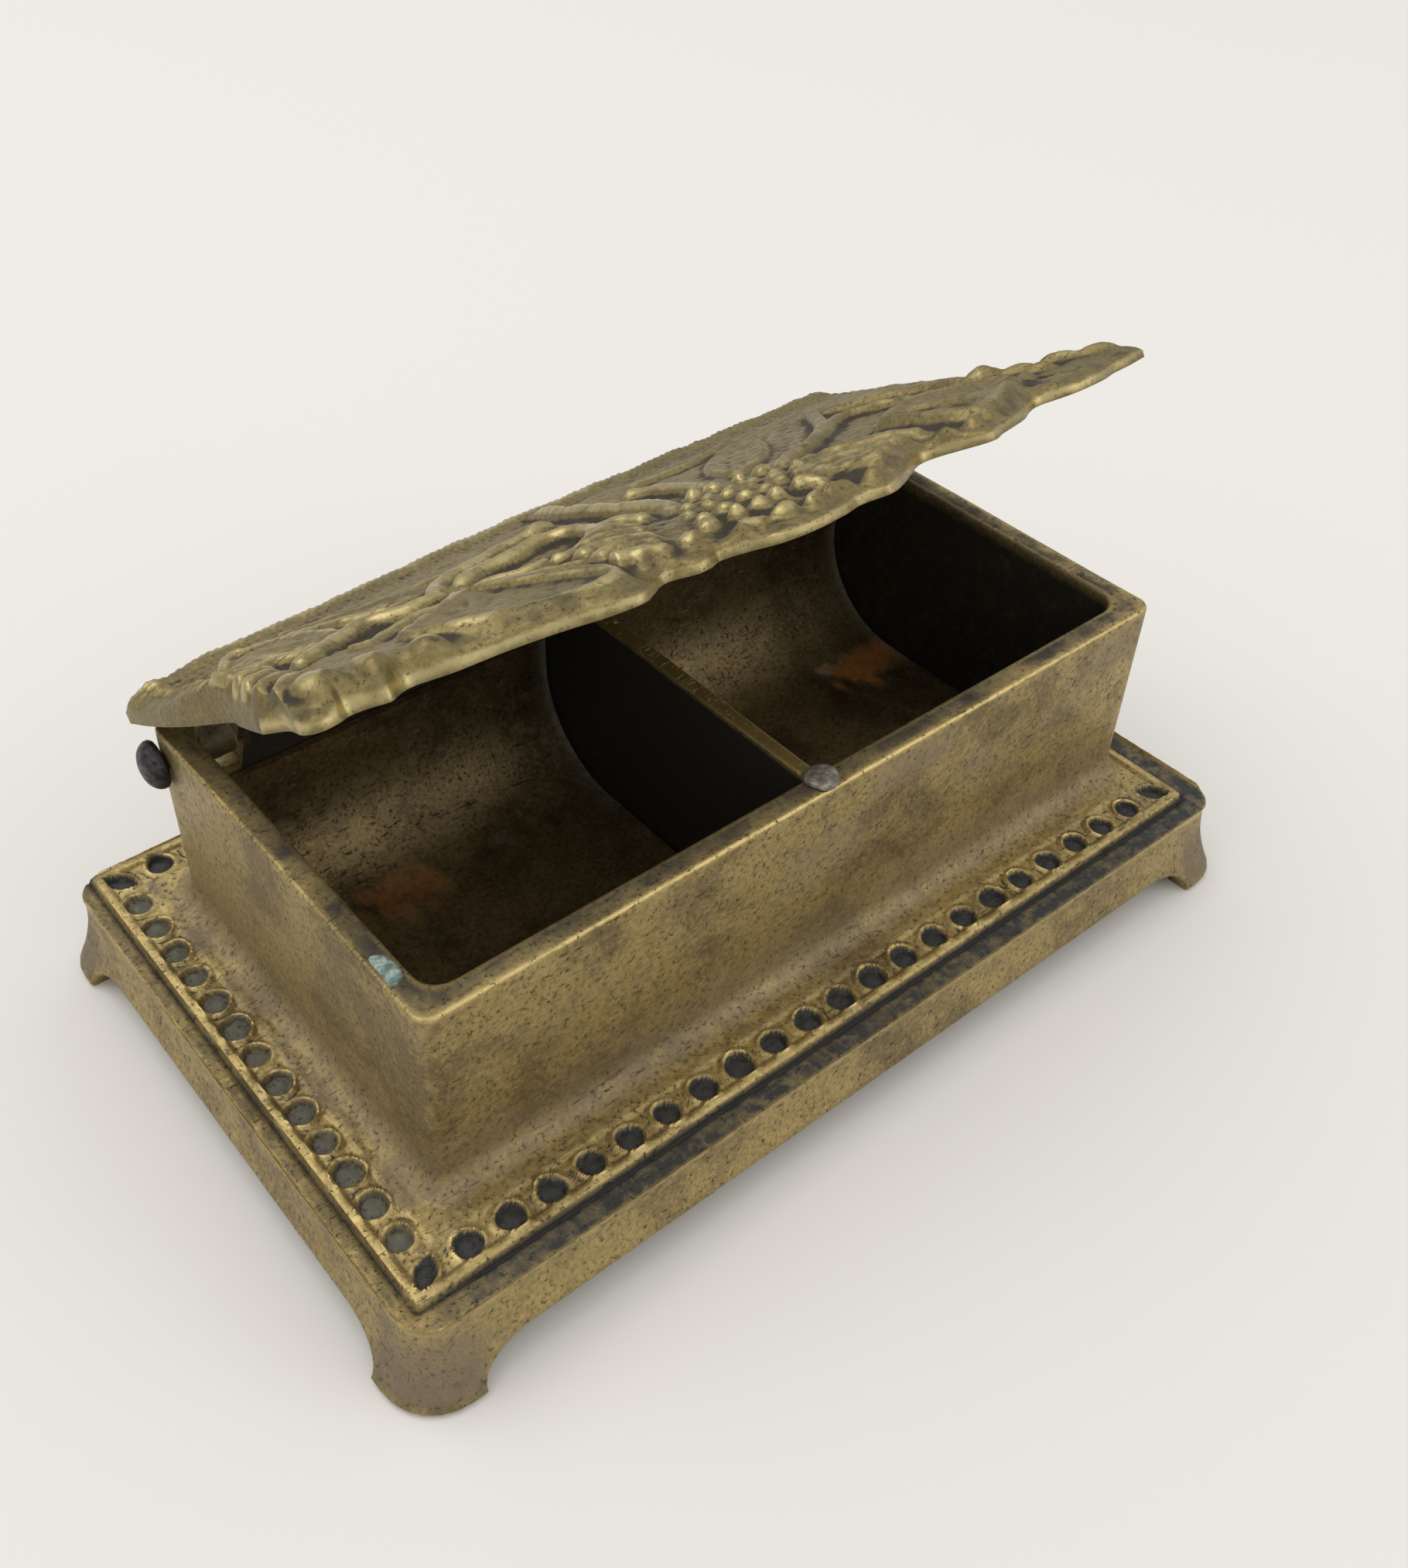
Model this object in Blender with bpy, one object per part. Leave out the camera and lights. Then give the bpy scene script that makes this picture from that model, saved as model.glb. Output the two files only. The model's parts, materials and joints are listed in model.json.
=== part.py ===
# Two-compartment stamp box of cast brass with a hinged relief lid.
#
# Metres, +Z up. The origin is the middle of the floor outline, at the level of the feet.
# +X runs along the long side, and the front, where the lid opens, faces -Y.

import math

import bmesh
import bpy
import numpy as np

# Box that stands on the plinth.
box_length = 0.0834
box_width = 0.0432
box_height = 0.0204
box_wall = 0.0024
box_corner_radius = 0.0014
pocket_corner_radius = 0.0008
rim_round = 0.0004
foot_fillet = 0.0021
foot_fillet_right = 0.0008
fillet_steps = 3

# Rows of cells round the box, by the gaps from its walls to the middles of the rows.
# On the right the wall stands just past the line of the row, so no cells are cut there.
left_row_gap = 0.0048
right_row_cover = 0.0002
front_row_gap = 0.0053
back_row_gap = 0.0046
cells_along_front = 21
cells_along_side = 13
cell_radius = 0.00132
cell_depth = 0.0005
corner_cell_stretch_share = 1.25
cell_bottom_share = 0.85
cell_sides = 8

# Margins from the middle of each row of cells out to the top edge of the plinth.
front_margin = 0.0049
back_margin = 0.0029
left_margin = 0.0041
right_margin = 0.0051

# Plinth: height, the flare of its sides, the raised lip round the cells and the channel outside it.
plinth_height = 0.0094
plinth_corner_radius = 0.0034
plinth_flare = 0.0019
flare_power = 2
toe_round = 0.0006
edge_drop = 0.0003
edge_round = 0.0003
lip_inner = 0.00135
lip_width = 0.0010
lip_rise = 0.0003
lip_draft = 0.0002
lip_corner_radius = 0.0012
channel_depth = 0.0009
flare_steps = 5

# Hollow underside, feet and aprons.
apron_wall = 0.0024
deck_thickness = 0.0020
floor_sink = 0.0019
foot_height = 0.0031
foot_length = 0.0066
foot_sweep = 0.0054
foot_steps = 5

# Divider and coved liners.
divider_thickness = 0.0015
divider_offset = 0.0006
divider_top_drop = 0.0003
liner_thickness = 0.0008
cove_radius = 0.0112
cove_steps = 7
liner_upstand = 0.0036

# Hinge.
hinge_back_inset = 0.0014
hinge_drop = 0.0035
pin_radius = 0.0009
pin_clearance = 0.00005
pin_head_radius = 0.0025
pin_head_height = 0.0015
pin_head_undercut = 0.0003
lug_radius = 0.0017
lug_thickness = 0.0036
pin_tip_margin = 0.0004
notch_margin = 0.0004
notch_drop = 0.0010
head_steps = 5
round_sides = 24

# Lid. It is set out on the rim: along the hinge line and forward from it.
lid_open_deg = 31.0
lid_left_inset = 0.0003
lid_tip_overhang = 0.0062
lid_front_overhang = 0.0041
lid_back_overhang = 0.0026
lid_edge_thickness = 0.00065
lid_ground_front = 0.0010
lid_roll_rise = 0.00075
lid_roll_width = 0.0030
lid_front_round = 0.0024
lid_side_round = 0.0013
lid_side_floor_share = 0.40
lid_back_thickness = 0.0034
lid_fall_power = 1.5
lid_columns = 92
lid_rows = 42

# Solder and casting plugs in the rim.
plug_length = 0.0034
plug_width = 0.0016
plug_depth = 0.0010
plug_dome = 0.0003
plug_from_front = 0.0045
right_plug_length = 0.0022
right_plug_from_front = 0.0060
lump_radius = 0.0017
lump_height = 0.0006

# Clearances.
fit_gap = 0.0003
plug_gap = 0.0001
cut_over = 0.0010
corner_steps = 5

# Places worked out from the sizes above. The middle of the plinth is the origin.
row_length = box_length + left_row_gap - right_row_cover
row_width = box_width + front_row_gap + back_row_gap
cell_pitch = row_length / (cells_along_front + 1)
side_cell_pitch = row_width / (cells_along_side + 1)
plinth_length = row_length + left_margin + right_margin
plinth_width = row_width + front_margin + back_margin
row_left = -plinth_length / 2 + left_margin
row_right = row_left + row_length
row_front = -plinth_width / 2 + front_margin
row_back = row_front + row_width
box_left = row_left + left_row_gap
box_right = box_left + box_length
box_front = row_front + front_row_gap
box_back = box_front + box_width
rim_z = plinth_height + box_height
pocket_left = box_left + box_wall
pocket_right = box_right - box_wall
pocket_front = box_front + box_wall
pocket_back = box_back - box_wall
pocket_floor = plinth_height - floor_sink
deck_underside = pocket_floor - deck_thickness
hinge_y = box_back - hinge_back_inset
hinge_z = rim_z - hinge_drop
lid_underside = rim_z + fit_gap
lid_length = box_length - lid_left_inset + lid_tip_overhang
lid_depth = hinge_y - box_front + lid_front_overhang
divider_x = (pocket_left + pocket_right) / 2 - divider_offset

# Shares of the lid's length and depth that its outline passes through, from left to right.
front_edge_shares = (
    (0.000, 0.634), (0.010, 0.700), (0.006, 0.776), (0.015, 0.812), (0.033, 0.806), (0.045, 0.789),
    (0.061, 0.800), (0.075, 0.823), (0.092, 0.794), (0.108, 0.788), (0.135, 0.821), (0.172, 0.839),
    (0.204, 0.865), (0.228, 0.895), (0.252, 0.934), (0.282, 0.952), (0.303, 0.924), (0.322, 0.889),
    (0.336, 0.884), (0.350, 0.922), (0.366, 0.922), (0.384, 0.903), (0.402, 0.929), (0.422, 0.982),
    (0.453, 1.000), (0.491, 0.990), (0.518, 0.972), (0.546, 0.992), (0.573, 0.966), (0.607, 0.918),
    (0.642, 0.871), (0.664, 0.880), (0.696, 0.951), (0.726, 0.930), (0.772, 0.898), (0.806, 0.854),
    (0.831, 0.837), (0.863, 0.870), (0.905, 0.872), (0.935, 0.853), (0.966, 0.846), (1.000, 0.830),
)
right_edge_shares = (
    (0.938, -0.056), (0.946, 0.060), (0.944, 0.240), (0.940, 0.420), (0.925, 0.530), (0.902, 0.600),
    (0.920, 0.660), (0.955, 0.720), (0.985, 0.780), (1.000, 0.830),
)
left_edge_shares = (
    (0.004, -0.056), (0.000, 0.100), (0.002, 0.260), (0.013, 0.405), (0.009, 0.470), (0.004, 0.550),
    (0.000, 0.634),
)

# Relief of the lid: stems as (points, half width, rise), all as shares of the lid's length or depth.
stem_shares = (
    (((0.008, 0.370), (0.043, 0.453), (0.082, 0.479), (0.129, 0.466)), 0.0134, 0.0240),
    (((0.048, 0.588), (0.110, 0.499), (0.146, 0.466), (0.183, 0.492), (0.230, 0.488)), 0.0146, 0.0283),
    (((0.092, 0.612), (0.135, 0.614), (0.196, 0.593), (0.227, 0.527)), 0.0123, 0.0261),
    (((0.048, 0.251), (0.084, 0.135), (0.124, 0.349), (0.122, 0.440)), 0.0112, 0.0218),
    (((0.130, 0.078), (0.253, 0.261), (0.393, 0.179)), 0.0123, 0.0109),
    (((0.095, 0.122), (0.163, 0.327), (0.196, 0.383)), 0.0123, 0.0153),
    (((0.227, 0.492), (0.251, 0.379), (0.303, 0.322), (0.382, 0.275), (0.430, 0.244)), 0.0134, 0.0240),
    (((0.232, 0.497), (0.327, 0.416), (0.395, 0.423),
      (0.391, 0.514), (0.331, 0.614), (0.308, 0.593)), 0.0134, 0.0283),
    (((0.232, 0.553), (0.274, 0.763), (0.289, 0.863)), 0.0112, 0.0261),
    (((0.476, 0.035), (0.465, 0.340), (0.462, 0.562), (0.445, 0.636)), 0.0157, 0.0240),
    (((0.510, 0.275), (0.530, 0.444), (0.523, 0.545)), 0.0134, 0.0196),
    (((0.309, 0.695), (0.335, 0.684), (0.359, 0.741), (0.357, 0.819)), 0.0168, 0.0327),
    (((0.308, 0.754), (0.335, 0.754), (0.349, 0.841)), 0.0157, 0.0327),
    (((0.352, 0.606), (0.384, 0.584), (0.393, 0.662)), 0.0157, 0.0327),
    (((0.366, 0.571), (0.405, 0.549), (0.423, 0.610)), 0.0157, 0.0327),
    (((0.507, 0.863), (0.534, 0.858), (0.583, 0.919)), 0.0202, 0.0349),
    (((0.523, 0.797), (0.590, 0.819), (0.617, 0.871)), 0.0179, 0.0327),
    (((0.545, 0.736), (0.628, 0.793), (0.646, 0.850)), 0.0134, 0.0261),
    (((0.568, 0.684), (0.657, 0.741), (0.675, 0.828)), 0.0123, 0.0229),
    (((0.566, 0.667), (0.654, 0.549), (0.754, 0.362), (0.810, 0.200)), 0.0134, 0.0240),
    (((0.684, 0.514), (0.740, 0.427), (0.779, 0.405), (0.814, 0.545)), 0.0112, 0.0218),
    (((0.796, 0.261), (0.870, 0.471), (0.875, 0.566)), 0.0146, 0.0185),
    (((0.716, 0.645), (0.763, 0.763), (0.754, 0.854)), 0.0112, 0.0283),
    (((0.869, 0.601), (0.919, 0.667), (0.969, 0.780)), 0.0213, 0.0327),
)
# Round swellings as (middle, half length, half width, rise).
lobe_shares = (
    ((0.068, 0.675), 0.0784, 0.1416, 0.0218),
    ((0.032, 0.749), 0.0291, 0.0741, 0.0436),
    ((0.077, 0.763), 0.0291, 0.0697, 0.0381),
    ((0.125, 0.784), 0.0280, 0.0697, 0.0316),
    ((0.017, 0.505), 0.0358, 0.0261, 0.0327),
    ((0.017, 0.558), 0.0358, 0.0261, 0.0327),
    ((0.019, 0.614), 0.0336, 0.0283, 0.0327),
    ((0.026, 0.671), 0.0314, 0.0305, 0.0327),
    ((0.219, 0.730), 0.0829, 0.1743, 0.0185),
    ((0.366, 0.719), 0.0829, 0.1612, 0.0196),
    ((0.489, 0.741), 0.0963, 0.1612, 0.0218),
    ((0.344, 0.847), 0.0213, 0.0370, 0.0370),
    ((0.377, 0.863), 0.0224, 0.0392, 0.0392),
    ((0.413, 0.919), 0.0246, 0.0305, 0.0327),
    ((0.460, 0.946), 0.0269, 0.0305, 0.0349),
    ((0.507, 0.941), 0.0269, 0.0283, 0.0327),
    ((0.543, 0.959), 0.0179, 0.0261, 0.0349),
    ((0.572, 0.828), 0.0784, 0.1307, 0.0174),
    ((0.776, 0.719), 0.0739, 0.1481, 0.0218),
    ((0.669, 0.893), 0.0157, 0.0305, 0.0305),
    ((0.700, 0.906), 0.0168, 0.0327, 0.0305),
    ((0.731, 0.885), 0.0146, 0.0283, 0.0305),
)
# Berries as rows of (first, row, count).
berry_rows_share = ((0.478, 0.614, 4), (0.447, 0.667, 6), (0.428, 0.719, 6), (0.418, 0.773, 6), (0.409, 0.828, 6))
berry_pitch_share = 0.0246
berry_row_slope_share = 0.0054
berry_radius_share = 0.0140
berry_rise_share = 0.0370


def clear_scene():
    """Removes what the opened file holds."""
    for old in list(bpy.data.objects):
        bpy.data.objects.remove(old, do_unlink=True)


def material(name, color, roughness, metallic):
    made = bpy.data.materials.new(name)
    made.use_nodes = True
    shader = made.node_tree.nodes["Principled BSDF"]
    shader.inputs["Base Color"].default_value = (*color, 1.0)
    shader.inputs["Roughness"].default_value = roughness
    shader.inputs["Metallic"].default_value = metallic
    return made


def add_object(name, vertices, faces, look, smooth=True):
    """One closed mesh in world coordinates, with its normals made to point outwards."""
    mesh = bpy.data.meshes.new(name)
    mesh.from_pydata([tuple(map(float, v)) for v in vertices], [], faces)
    work = bmesh.new()
    work.from_mesh(mesh)
    bmesh.ops.recalc_face_normals(work, faces=work.faces)
    work.to_mesh(mesh)
    work.free()
    if smooth:
        mesh.shade_smooth()
        mesh.set_sharp_from_angle(angle=math.radians(35))
    if look:
        mesh.materials.append(look)
    made = bpy.data.objects.new(name, mesh)
    bpy.context.collection.objects.link(made)
    return made


def add_cutter(name, vertices, faces):
    """A guide for a Boolean, left out of the build."""
    made = add_object(name, vertices, faces, None, smooth=False)
    made.hide_render = True
    made.display_type = "WIRE"
    return made


def cut(target, cutter, operation="DIFFERENCE"):
    step = target.modifiers.new(cutter.name, "BOOLEAN")
    step.operation = operation
    step.solver = "EXACT"
    step.object = cutter


def rounded_ring(left, right, front, back, radius, z):
    """Points of a rounded rectangle, anticlockwise, with the same count for every ring."""
    points = []
    corners = ((right - radius, back - radius, 0), (left + radius, back - radius, 1),
               (left + radius, front + radius, 2), (right - radius, front + radius, 3))
    for x, y, quarter in corners:
        for step in range(corner_steps + 1):
            angle = (quarter + step / corner_steps) * math.pi / 2
            points.append((x + radius * math.cos(angle), y + radius * math.sin(angle), z))
    return points


def loft(rings):
    """Vertices and faces of a solid through closed rings, capped at both ends."""
    count = len(rings[0])
    vertices = [point for ring in rings for point in ring]
    faces = []
    for level in range(len(rings) - 1):
        low, high = level * count, (level + 1) * count
        for k in range(count):
            n = (k + 1) % count
            faces.append((low + k, low + n, high + n, high + k))
    faces.append(tuple(range(count)))
    last = (len(rings) - 1) * count
    faces.append(tuple(range(last + count - 1, last - 1, -1)))
    return vertices, faces


def prism(profile, place, start, end):
    """Vertices and faces of a profile carried from start to end; place turns (p, q, along) into a point."""
    count = len(profile)
    vertices = [place(p, q, start) for p, q in profile] + [place(p, q, end) for p, q in profile]
    faces = [tuple(range(count)), tuple(range(2 * count - 1, count - 1, -1))]
    faces += [(k, (k + 1) % count, count + (k + 1) % count, count + k) for k in range(count)]
    return vertices, faces


def circle(radius, sides=round_sides):
    return [(radius * math.cos(2 * math.pi * k / sides), radius * math.sin(2 * math.pi * k / sides))
            for k in range(sides)]


def along_x(y, z):
    """Places a profile (p, q) on a plane across X, about the point y, z."""
    return lambda p, q, x: (x, y + p, z + q)


def gather(parts):
    """Joins several (vertices, faces) lists into one."""
    vertices, faces = [], []
    for part_vertices, part_faces in parts:
        base = len(vertices)
        vertices += part_vertices
        faces += [tuple(base + index for index in face) for face in part_faces]
    return vertices, faces


def plinth_ring(out, z, radius):
    """A ring round the plinth's top edge, moved outwards by out."""
    half_length = plinth_length / 2 + out
    half_width = plinth_width / 2 + out
    return rounded_ring(-half_length, half_length, -half_width, half_width, radius, z)


def row_ring(out, z, radius):
    """A ring round the rows of cells, moved outwards by out."""
    return rounded_ring(row_left - out, row_right + out, row_front - out, row_back + out, radius, z)


def box_ring(out, out_right, z, radius):
    return rounded_ring(box_left - out, box_right + out_right, box_front - out, box_back + out, radius, z)


def body_rings():
    """Rings from the underside's ceiling down, out, up the flared side, over the top and into the pocket."""
    inner = plinth_corner_radius - apron_wall / 2
    rings = [plinth_ring(-apron_wall, deck_underside, inner)]
    rings.append(plinth_ring(-apron_wall, foot_height, inner))
    rings.append(plinth_ring(plinth_flare - apron_wall, 0, plinth_corner_radius))
    rings.append(plinth_ring(plinth_flare - toe_round, 0, plinth_corner_radius + plinth_flare))
    edge_z = plinth_height - edge_drop
    for step in range(flare_steps + 1):
        rise = step / flare_steps
        out = (plinth_flare + edge_round) * (1 - rise) ** flare_power - edge_round
        z = toe_round + (edge_z - toe_round) * rise
        rings.append(plinth_ring(out, z, plinth_corner_radius + out))
    lip_outer = lip_inner + lip_width
    rings.append(row_ring(lip_outer + 2 * lip_draft, plinth_height - channel_depth, lip_corner_radius + lip_draft))
    rings.append(row_ring(lip_outer + lip_draft, plinth_height - channel_depth, lip_corner_radius + lip_draft))
    rings.append(row_ring(lip_outer, plinth_height + lip_rise, lip_corner_radius))
    rings.append(row_ring(lip_inner + lip_draft, plinth_height + lip_rise, lip_corner_radius))
    rings.append(row_ring(lip_inner, plinth_height, lip_corner_radius))
    for step in range(fillet_steps + 1):
        angle = step / fillet_steps * math.pi / 2
        share = 1 - math.sin(angle)
        z = plinth_height + foot_fillet * (1 - math.cos(angle))
        out = foot_fillet * share
        rings.append(box_ring(out, foot_fillet_right * share, z, box_corner_radius + out))
    rings.append(box_ring(0, 0, rim_z - rim_round, box_corner_radius))
    rings.append(box_ring(-rim_round, -rim_round, rim_z, box_corner_radius))
    inside = -box_wall
    rings.append(box_ring(inside + rim_round, inside + rim_round, rim_z, pocket_corner_radius))
    rings.append(box_ring(inside, inside, rim_z - rim_round, pocket_corner_radius))
    rings.append(box_ring(inside, inside, pocket_floor, pocket_corner_radius))
    return rings


def arch_profile(low, high):
    """The opening under an apron between two feet: straight along the top, swept down to the feet."""
    start = low + foot_length
    finish = high - foot_length
    points = [(start, -cut_over)]
    for step in range(foot_steps + 1):
        angle = step / foot_steps * math.pi / 2
        points.append((start + foot_sweep * (1 - math.cos(angle)), foot_height * math.sin(angle)))
    for step in range(foot_steps, -1, -1):
        angle = step / foot_steps * math.pi / 2
        points.append((finish - foot_sweep * (1 - math.cos(angle)), foot_height * math.sin(angle)))
    points.append((finish, -cut_over))
    return points


def arch_cutters():
    half_length = plinth_length / 2 + plinth_flare
    half_width = plinth_width / 2 + plinth_flare
    reach_y = half_width + cut_over
    reach_x = half_length + cut_over
    front = prism(arch_profile(-half_length, half_length), lambda p, q, y: (p, y, q), -reach_y, reach_y)
    sides = prism(arch_profile(-half_width, half_width), lambda p, q, x: (x, p, q), -reach_x, reach_x)
    return add_cutter("front_arch_cutter", *front), add_cutter("side_arch_cutter", *sides)


def cell_cutter(x, y, stretch=1.0, turn=0.0):
    """A shallow tapered recess, round or stretched along the diagonal at a corner."""
    rings = []
    for share, z in ((cell_bottom_share, plinth_height - cell_depth), (1.0, plinth_height),
                     (1.0, plinth_height + cell_depth)):
        ring = []
        for k in range(cell_sides):
            angle = 2 * math.pi * (k + 0.5) / cell_sides
            p = cell_radius * share * stretch * math.cos(angle)
            q = cell_radius * share / stretch * math.sin(angle)
            ring.append((x + p * math.cos(turn) - q * math.sin(turn), y + p * math.sin(turn) + q * math.cos(turn), z))
        rings.append(ring)
    return loft(rings)


def cell_places():
    """Where the cells lie: the front and back rows, the left column and the four corners.

    The box stands over the line of the right column, so there are none there."""
    places = []
    for k in range(1, cells_along_front + 1):
        x = row_left + k * cell_pitch
        places += [(x, row_front, 1.0, 0.0), (x, row_back, 1.0, 0.0)]
    for k in range(1, cells_along_side + 1):
        places.append((row_left, row_front + k * side_cell_pitch, 1.0, 0.0))
    stretch = corner_cell_stretch_share
    diagonal = math.pi / 4
    places += [(row_left, row_front, stretch, diagonal), (row_right, row_back, stretch, diagonal),
               (row_left, row_back, stretch, -diagonal), (row_right, row_front, stretch, -diagonal)]
    return places


def end_walls():
    """For each end: name, outer face, inner face, and the direction from the wall into the box."""
    return (("left", box_left, pocket_left, 1), ("right", box_right, pocket_right, -1))


def pin_hole_cutter(name, outer, inner, inward):
    start = outer - inward * cut_over
    end = inner + inward * cut_over
    shape = prism(circle(pin_radius + pin_clearance), along_x(hinge_y, hinge_z), start, end)
    return add_cutter(f"pin_hole_cutter_{name}", *shape)


def notch_cutter(name, inner, inward):
    """Room in the back wall for a lug of the lid, open to the rim and to the back."""
    low = hinge_z - lug_radius - notch_drop
    start = inner
    end = inner + inward * (lug_thickness + fit_gap + notch_margin)
    profile = [(-hinge_back_inset, low - hinge_z), (box_back + cut_over - hinge_y, low - hinge_z),
               (box_back + cut_over - hinge_y, hinge_drop + cut_over), (-hinge_back_inset, hinge_drop + cut_over)]
    return add_cutter(f"notch_cutter_{name}", *prism(profile, along_x(hinge_y, hinge_z), start, end))


def box_shape(left, right, front, back, low, high):
    corners = [(left, front), (right, front), (right, back), (left, back)]
    return prism(corners, lambda p, q, z: (p, q, z), low, high)


def plug_places():
    """For each plug in the rim: name, left, right, front and back."""
    left_middle = box_left + box_wall / 2
    right_middle = box_right - box_wall / 2
    left_front = box_front + plug_from_front
    right_front = box_front + right_plug_from_front
    half = plug_width / 2
    return (("verdigris_plug_left", left_middle - half, left_middle + half, left_front, left_front + plug_length),
            ("rim_plug_right", right_middle - half, right_middle + half, right_front,
             right_front + right_plug_length))


def make_body(brass):
    vertices, faces = loft(body_rings())
    body = add_object("box_casting", vertices, faces, brass)
    for cutter in arch_cutters():
        cut(body, cutter)
    cells = gather([cell_cutter(*place) for place in cell_places()])
    cut(body, add_cutter("cell_cutter", *cells))
    for name, outer, inner, inward in end_walls():
        cut(body, notch_cutter(name, inner, inward))
        cut(body, pin_hole_cutter(name, outer, inner, inward))
    for name, left, right, front, back in plug_places():
        pocket = box_shape(left, right, front, back, rim_z - plug_depth, rim_z + cut_over)
        cut(body, add_cutter(f"{name}_cutter", *pocket))
    return body


def liner_profile():
    """Outline of a coved sheet in Y and Z: flat floor, quarter round, short upstand."""
    bottom = pocket_floor + fit_gap
    front = pocket_front + fit_gap
    back = pocket_back - fit_gap
    centre_y = back - cove_radius
    centre_z = bottom + cove_radius
    outer = [(front, bottom)]
    inner = [(front, bottom + liner_thickness)]
    for step in range(cove_steps + 1):
        angle = step / cove_steps * math.pi / 2
        outer.append((centre_y + cove_radius * math.sin(angle), centre_z - cove_radius * math.cos(angle)))
        radius = cove_radius - liner_thickness
        inner.append((centre_y + radius * math.sin(angle), centre_z - radius * math.cos(angle)))
    outer.append((back, centre_z + liner_upstand))
    inner.append((back - liner_thickness, centre_z + liner_upstand))
    return outer + inner[::-1]


def make_liners(look):
    half = divider_thickness / 2
    spans = (("left_liner", pocket_left + fit_gap, divider_x - half - fit_gap),
             ("right_liner", divider_x + half + fit_gap, pocket_right - fit_gap))
    for name, start, end in spans:
        add_object(name, *prism(liner_profile(), lambda y, z, x: (x, y, z), start, end), look)


def make_divider(brass):
    half = divider_thickness / 2
    shape = box_shape(divider_x - half, divider_x + half, pocket_front + fit_gap, pocket_back - fit_gap,
                      pocket_floor + fit_gap, rim_z - divider_top_drop)
    return add_object("divider_plate", *shape, brass, smooth=False)


def make_pin(name, outer, inner, inward, steel):
    """A round pin with a domed head outside the end wall."""
    head_face = outer - inward * fit_gap
    tip = inner + inward * (fit_gap + lug_thickness - pin_tip_margin)
    sections = [(tip, pin_radius), (head_face, pin_radius), (head_face, pin_head_radius)]
    for step in range(1, head_steps):
        angle = step / head_steps * math.pi / 2
        sections.append((head_face - inward * (pin_head_undercut + pin_head_height * math.sin(angle)),
                         pin_head_radius * math.cos(angle)))
    sections.append((head_face - inward * (pin_head_undercut + pin_head_height), pin_head_radius / round_sides))
    rings = [[(x, hinge_y + p, hinge_z + q) for p, q in circle(radius)] for x, radius in sections]
    return add_object(f"hinge_pin_{name}", *loft(rings), steel)


def make_plugs(looks):
    for (name, left, right, front, back), look in zip(plug_places(), looks):
        gap = plug_gap
        low = rim_z - plug_depth + gap
        rings = []
        for inset, z in ((gap, low), (gap, rim_z), (gap + plug_dome, rim_z + plug_dome)):
            rings.append([(left + inset, front + inset, z), (right - inset, front + inset, z),
                          (right - inset, back - inset, z), (left + inset, back - inset, z)])
        add_object(name, *loft(rings), look, smooth=False)


def make_lump(look):
    """A low lump of solder on the rim, over the front end of the divider."""
    centre_y = box_front + box_wall - lump_radius / 2
    rings = []
    for step in range(head_steps):
        angle = step / head_steps * math.pi / 2
        z = rim_z + plug_gap + lump_height * math.sin(angle)
        rings.append([(divider_x + p, centre_y + q, z) for p, q in circle(lump_radius * math.cos(angle), cell_sides)])
    return add_object("divider_solder_lump", *loft(rings), look)


def smooth_line(points, count):
    """A smooth curve (Catmull-Rom) through points, as count places."""
    fixed = np.array(points, dtype=float)
    fixed = np.vstack([2 * fixed[0] - fixed[1], fixed, 2 * fixed[-1] - fixed[-2]])
    spans = len(points) - 1
    t = np.linspace(0, spans, count)
    k = np.minimum(t.astype(int), spans - 1)
    f = (t - k)[:, None]
    a, b, c, d = fixed[k], fixed[k + 1], fixed[k + 2], fixed[k + 3]
    return 0.5 * (2 * b + (c - a) * f + (2 * a - 5 * b + 4 * c - d) * f ** 2 + (3 * b - a - 3 * c + d) * f ** 3)


def even_line(points, count):
    """The same curve with its places evenly spaced."""
    dense = smooth_line(points, 40 * len(points))
    length = np.concatenate([[0], np.cumsum(np.hypot(*np.diff(dense, axis=0).T))])
    want = np.linspace(0, length[-1], count)
    return np.stack([np.interp(want, length, dense[:, k]) for k in (0, 1)], axis=1)


def to_lid(shares):
    """Shares of the lid's length and depth as metres along the hinge line and forward from it."""
    return [(along * lid_length, forward * lid_depth) for along, forward in shares]


def lid_places():
    """A grid of places inside the lid's outline, blended from its four edges (a Coons patch)."""
    a = np.linspace(0, 1, lid_columns + 1)
    b = np.linspace(0, 1, lid_rows + 1)
    front = even_line(to_lid(front_edge_shares), lid_columns + 1)
    left = even_line(to_lid(left_edge_shares), lid_rows + 1)
    right = even_line(to_lid(right_edge_shares), lid_rows + 1)
    back = left[0] * (1 - a)[:, None] + right[0] * a[:, None]
    A, B = np.meshgrid(a, b, indexing="ij")
    A, B = A[..., None], B[..., None]
    ruled = (1 - B) * back[:, None] + B * front[:, None] + (1 - A) * left[None] + A * right[None]
    corners = ((1 - A) * (1 - B) * back[0] + A * (1 - B) * back[-1] + (1 - A) * B * front[0] + A * B * front[-1])
    return ruled - corners


def distance_to_line(u, w, line):
    """Distance from each place to a polyline, and how far along it the nearest point lies, 0 to 1."""
    best = np.full(u.shape, np.inf)
    share = np.zeros(u.shape)
    spans = len(line) - 1
    for k in range(spans):
        (au, aw), (bu, bw) = line[k], line[k + 1]
        du, dw = bu - au, bw - aw
        t = np.clip(((u - au) * du + (w - aw) * dw) / (du * du + dw * dw), 0, 1)
        gap = np.hypot(u - au - t * du, w - aw - t * dw)
        nearer = gap < best
        best = np.where(nearer, gap, best)
        share = np.where(nearer, (k + t) / spans, share)
    return best, share


def mound(gap, half_width, rise):
    """Height of a rounded form: full on its middle line, nothing at its half width."""
    return rise * np.clip(1 - (gap / half_width) ** 2, 0, 1)


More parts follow.
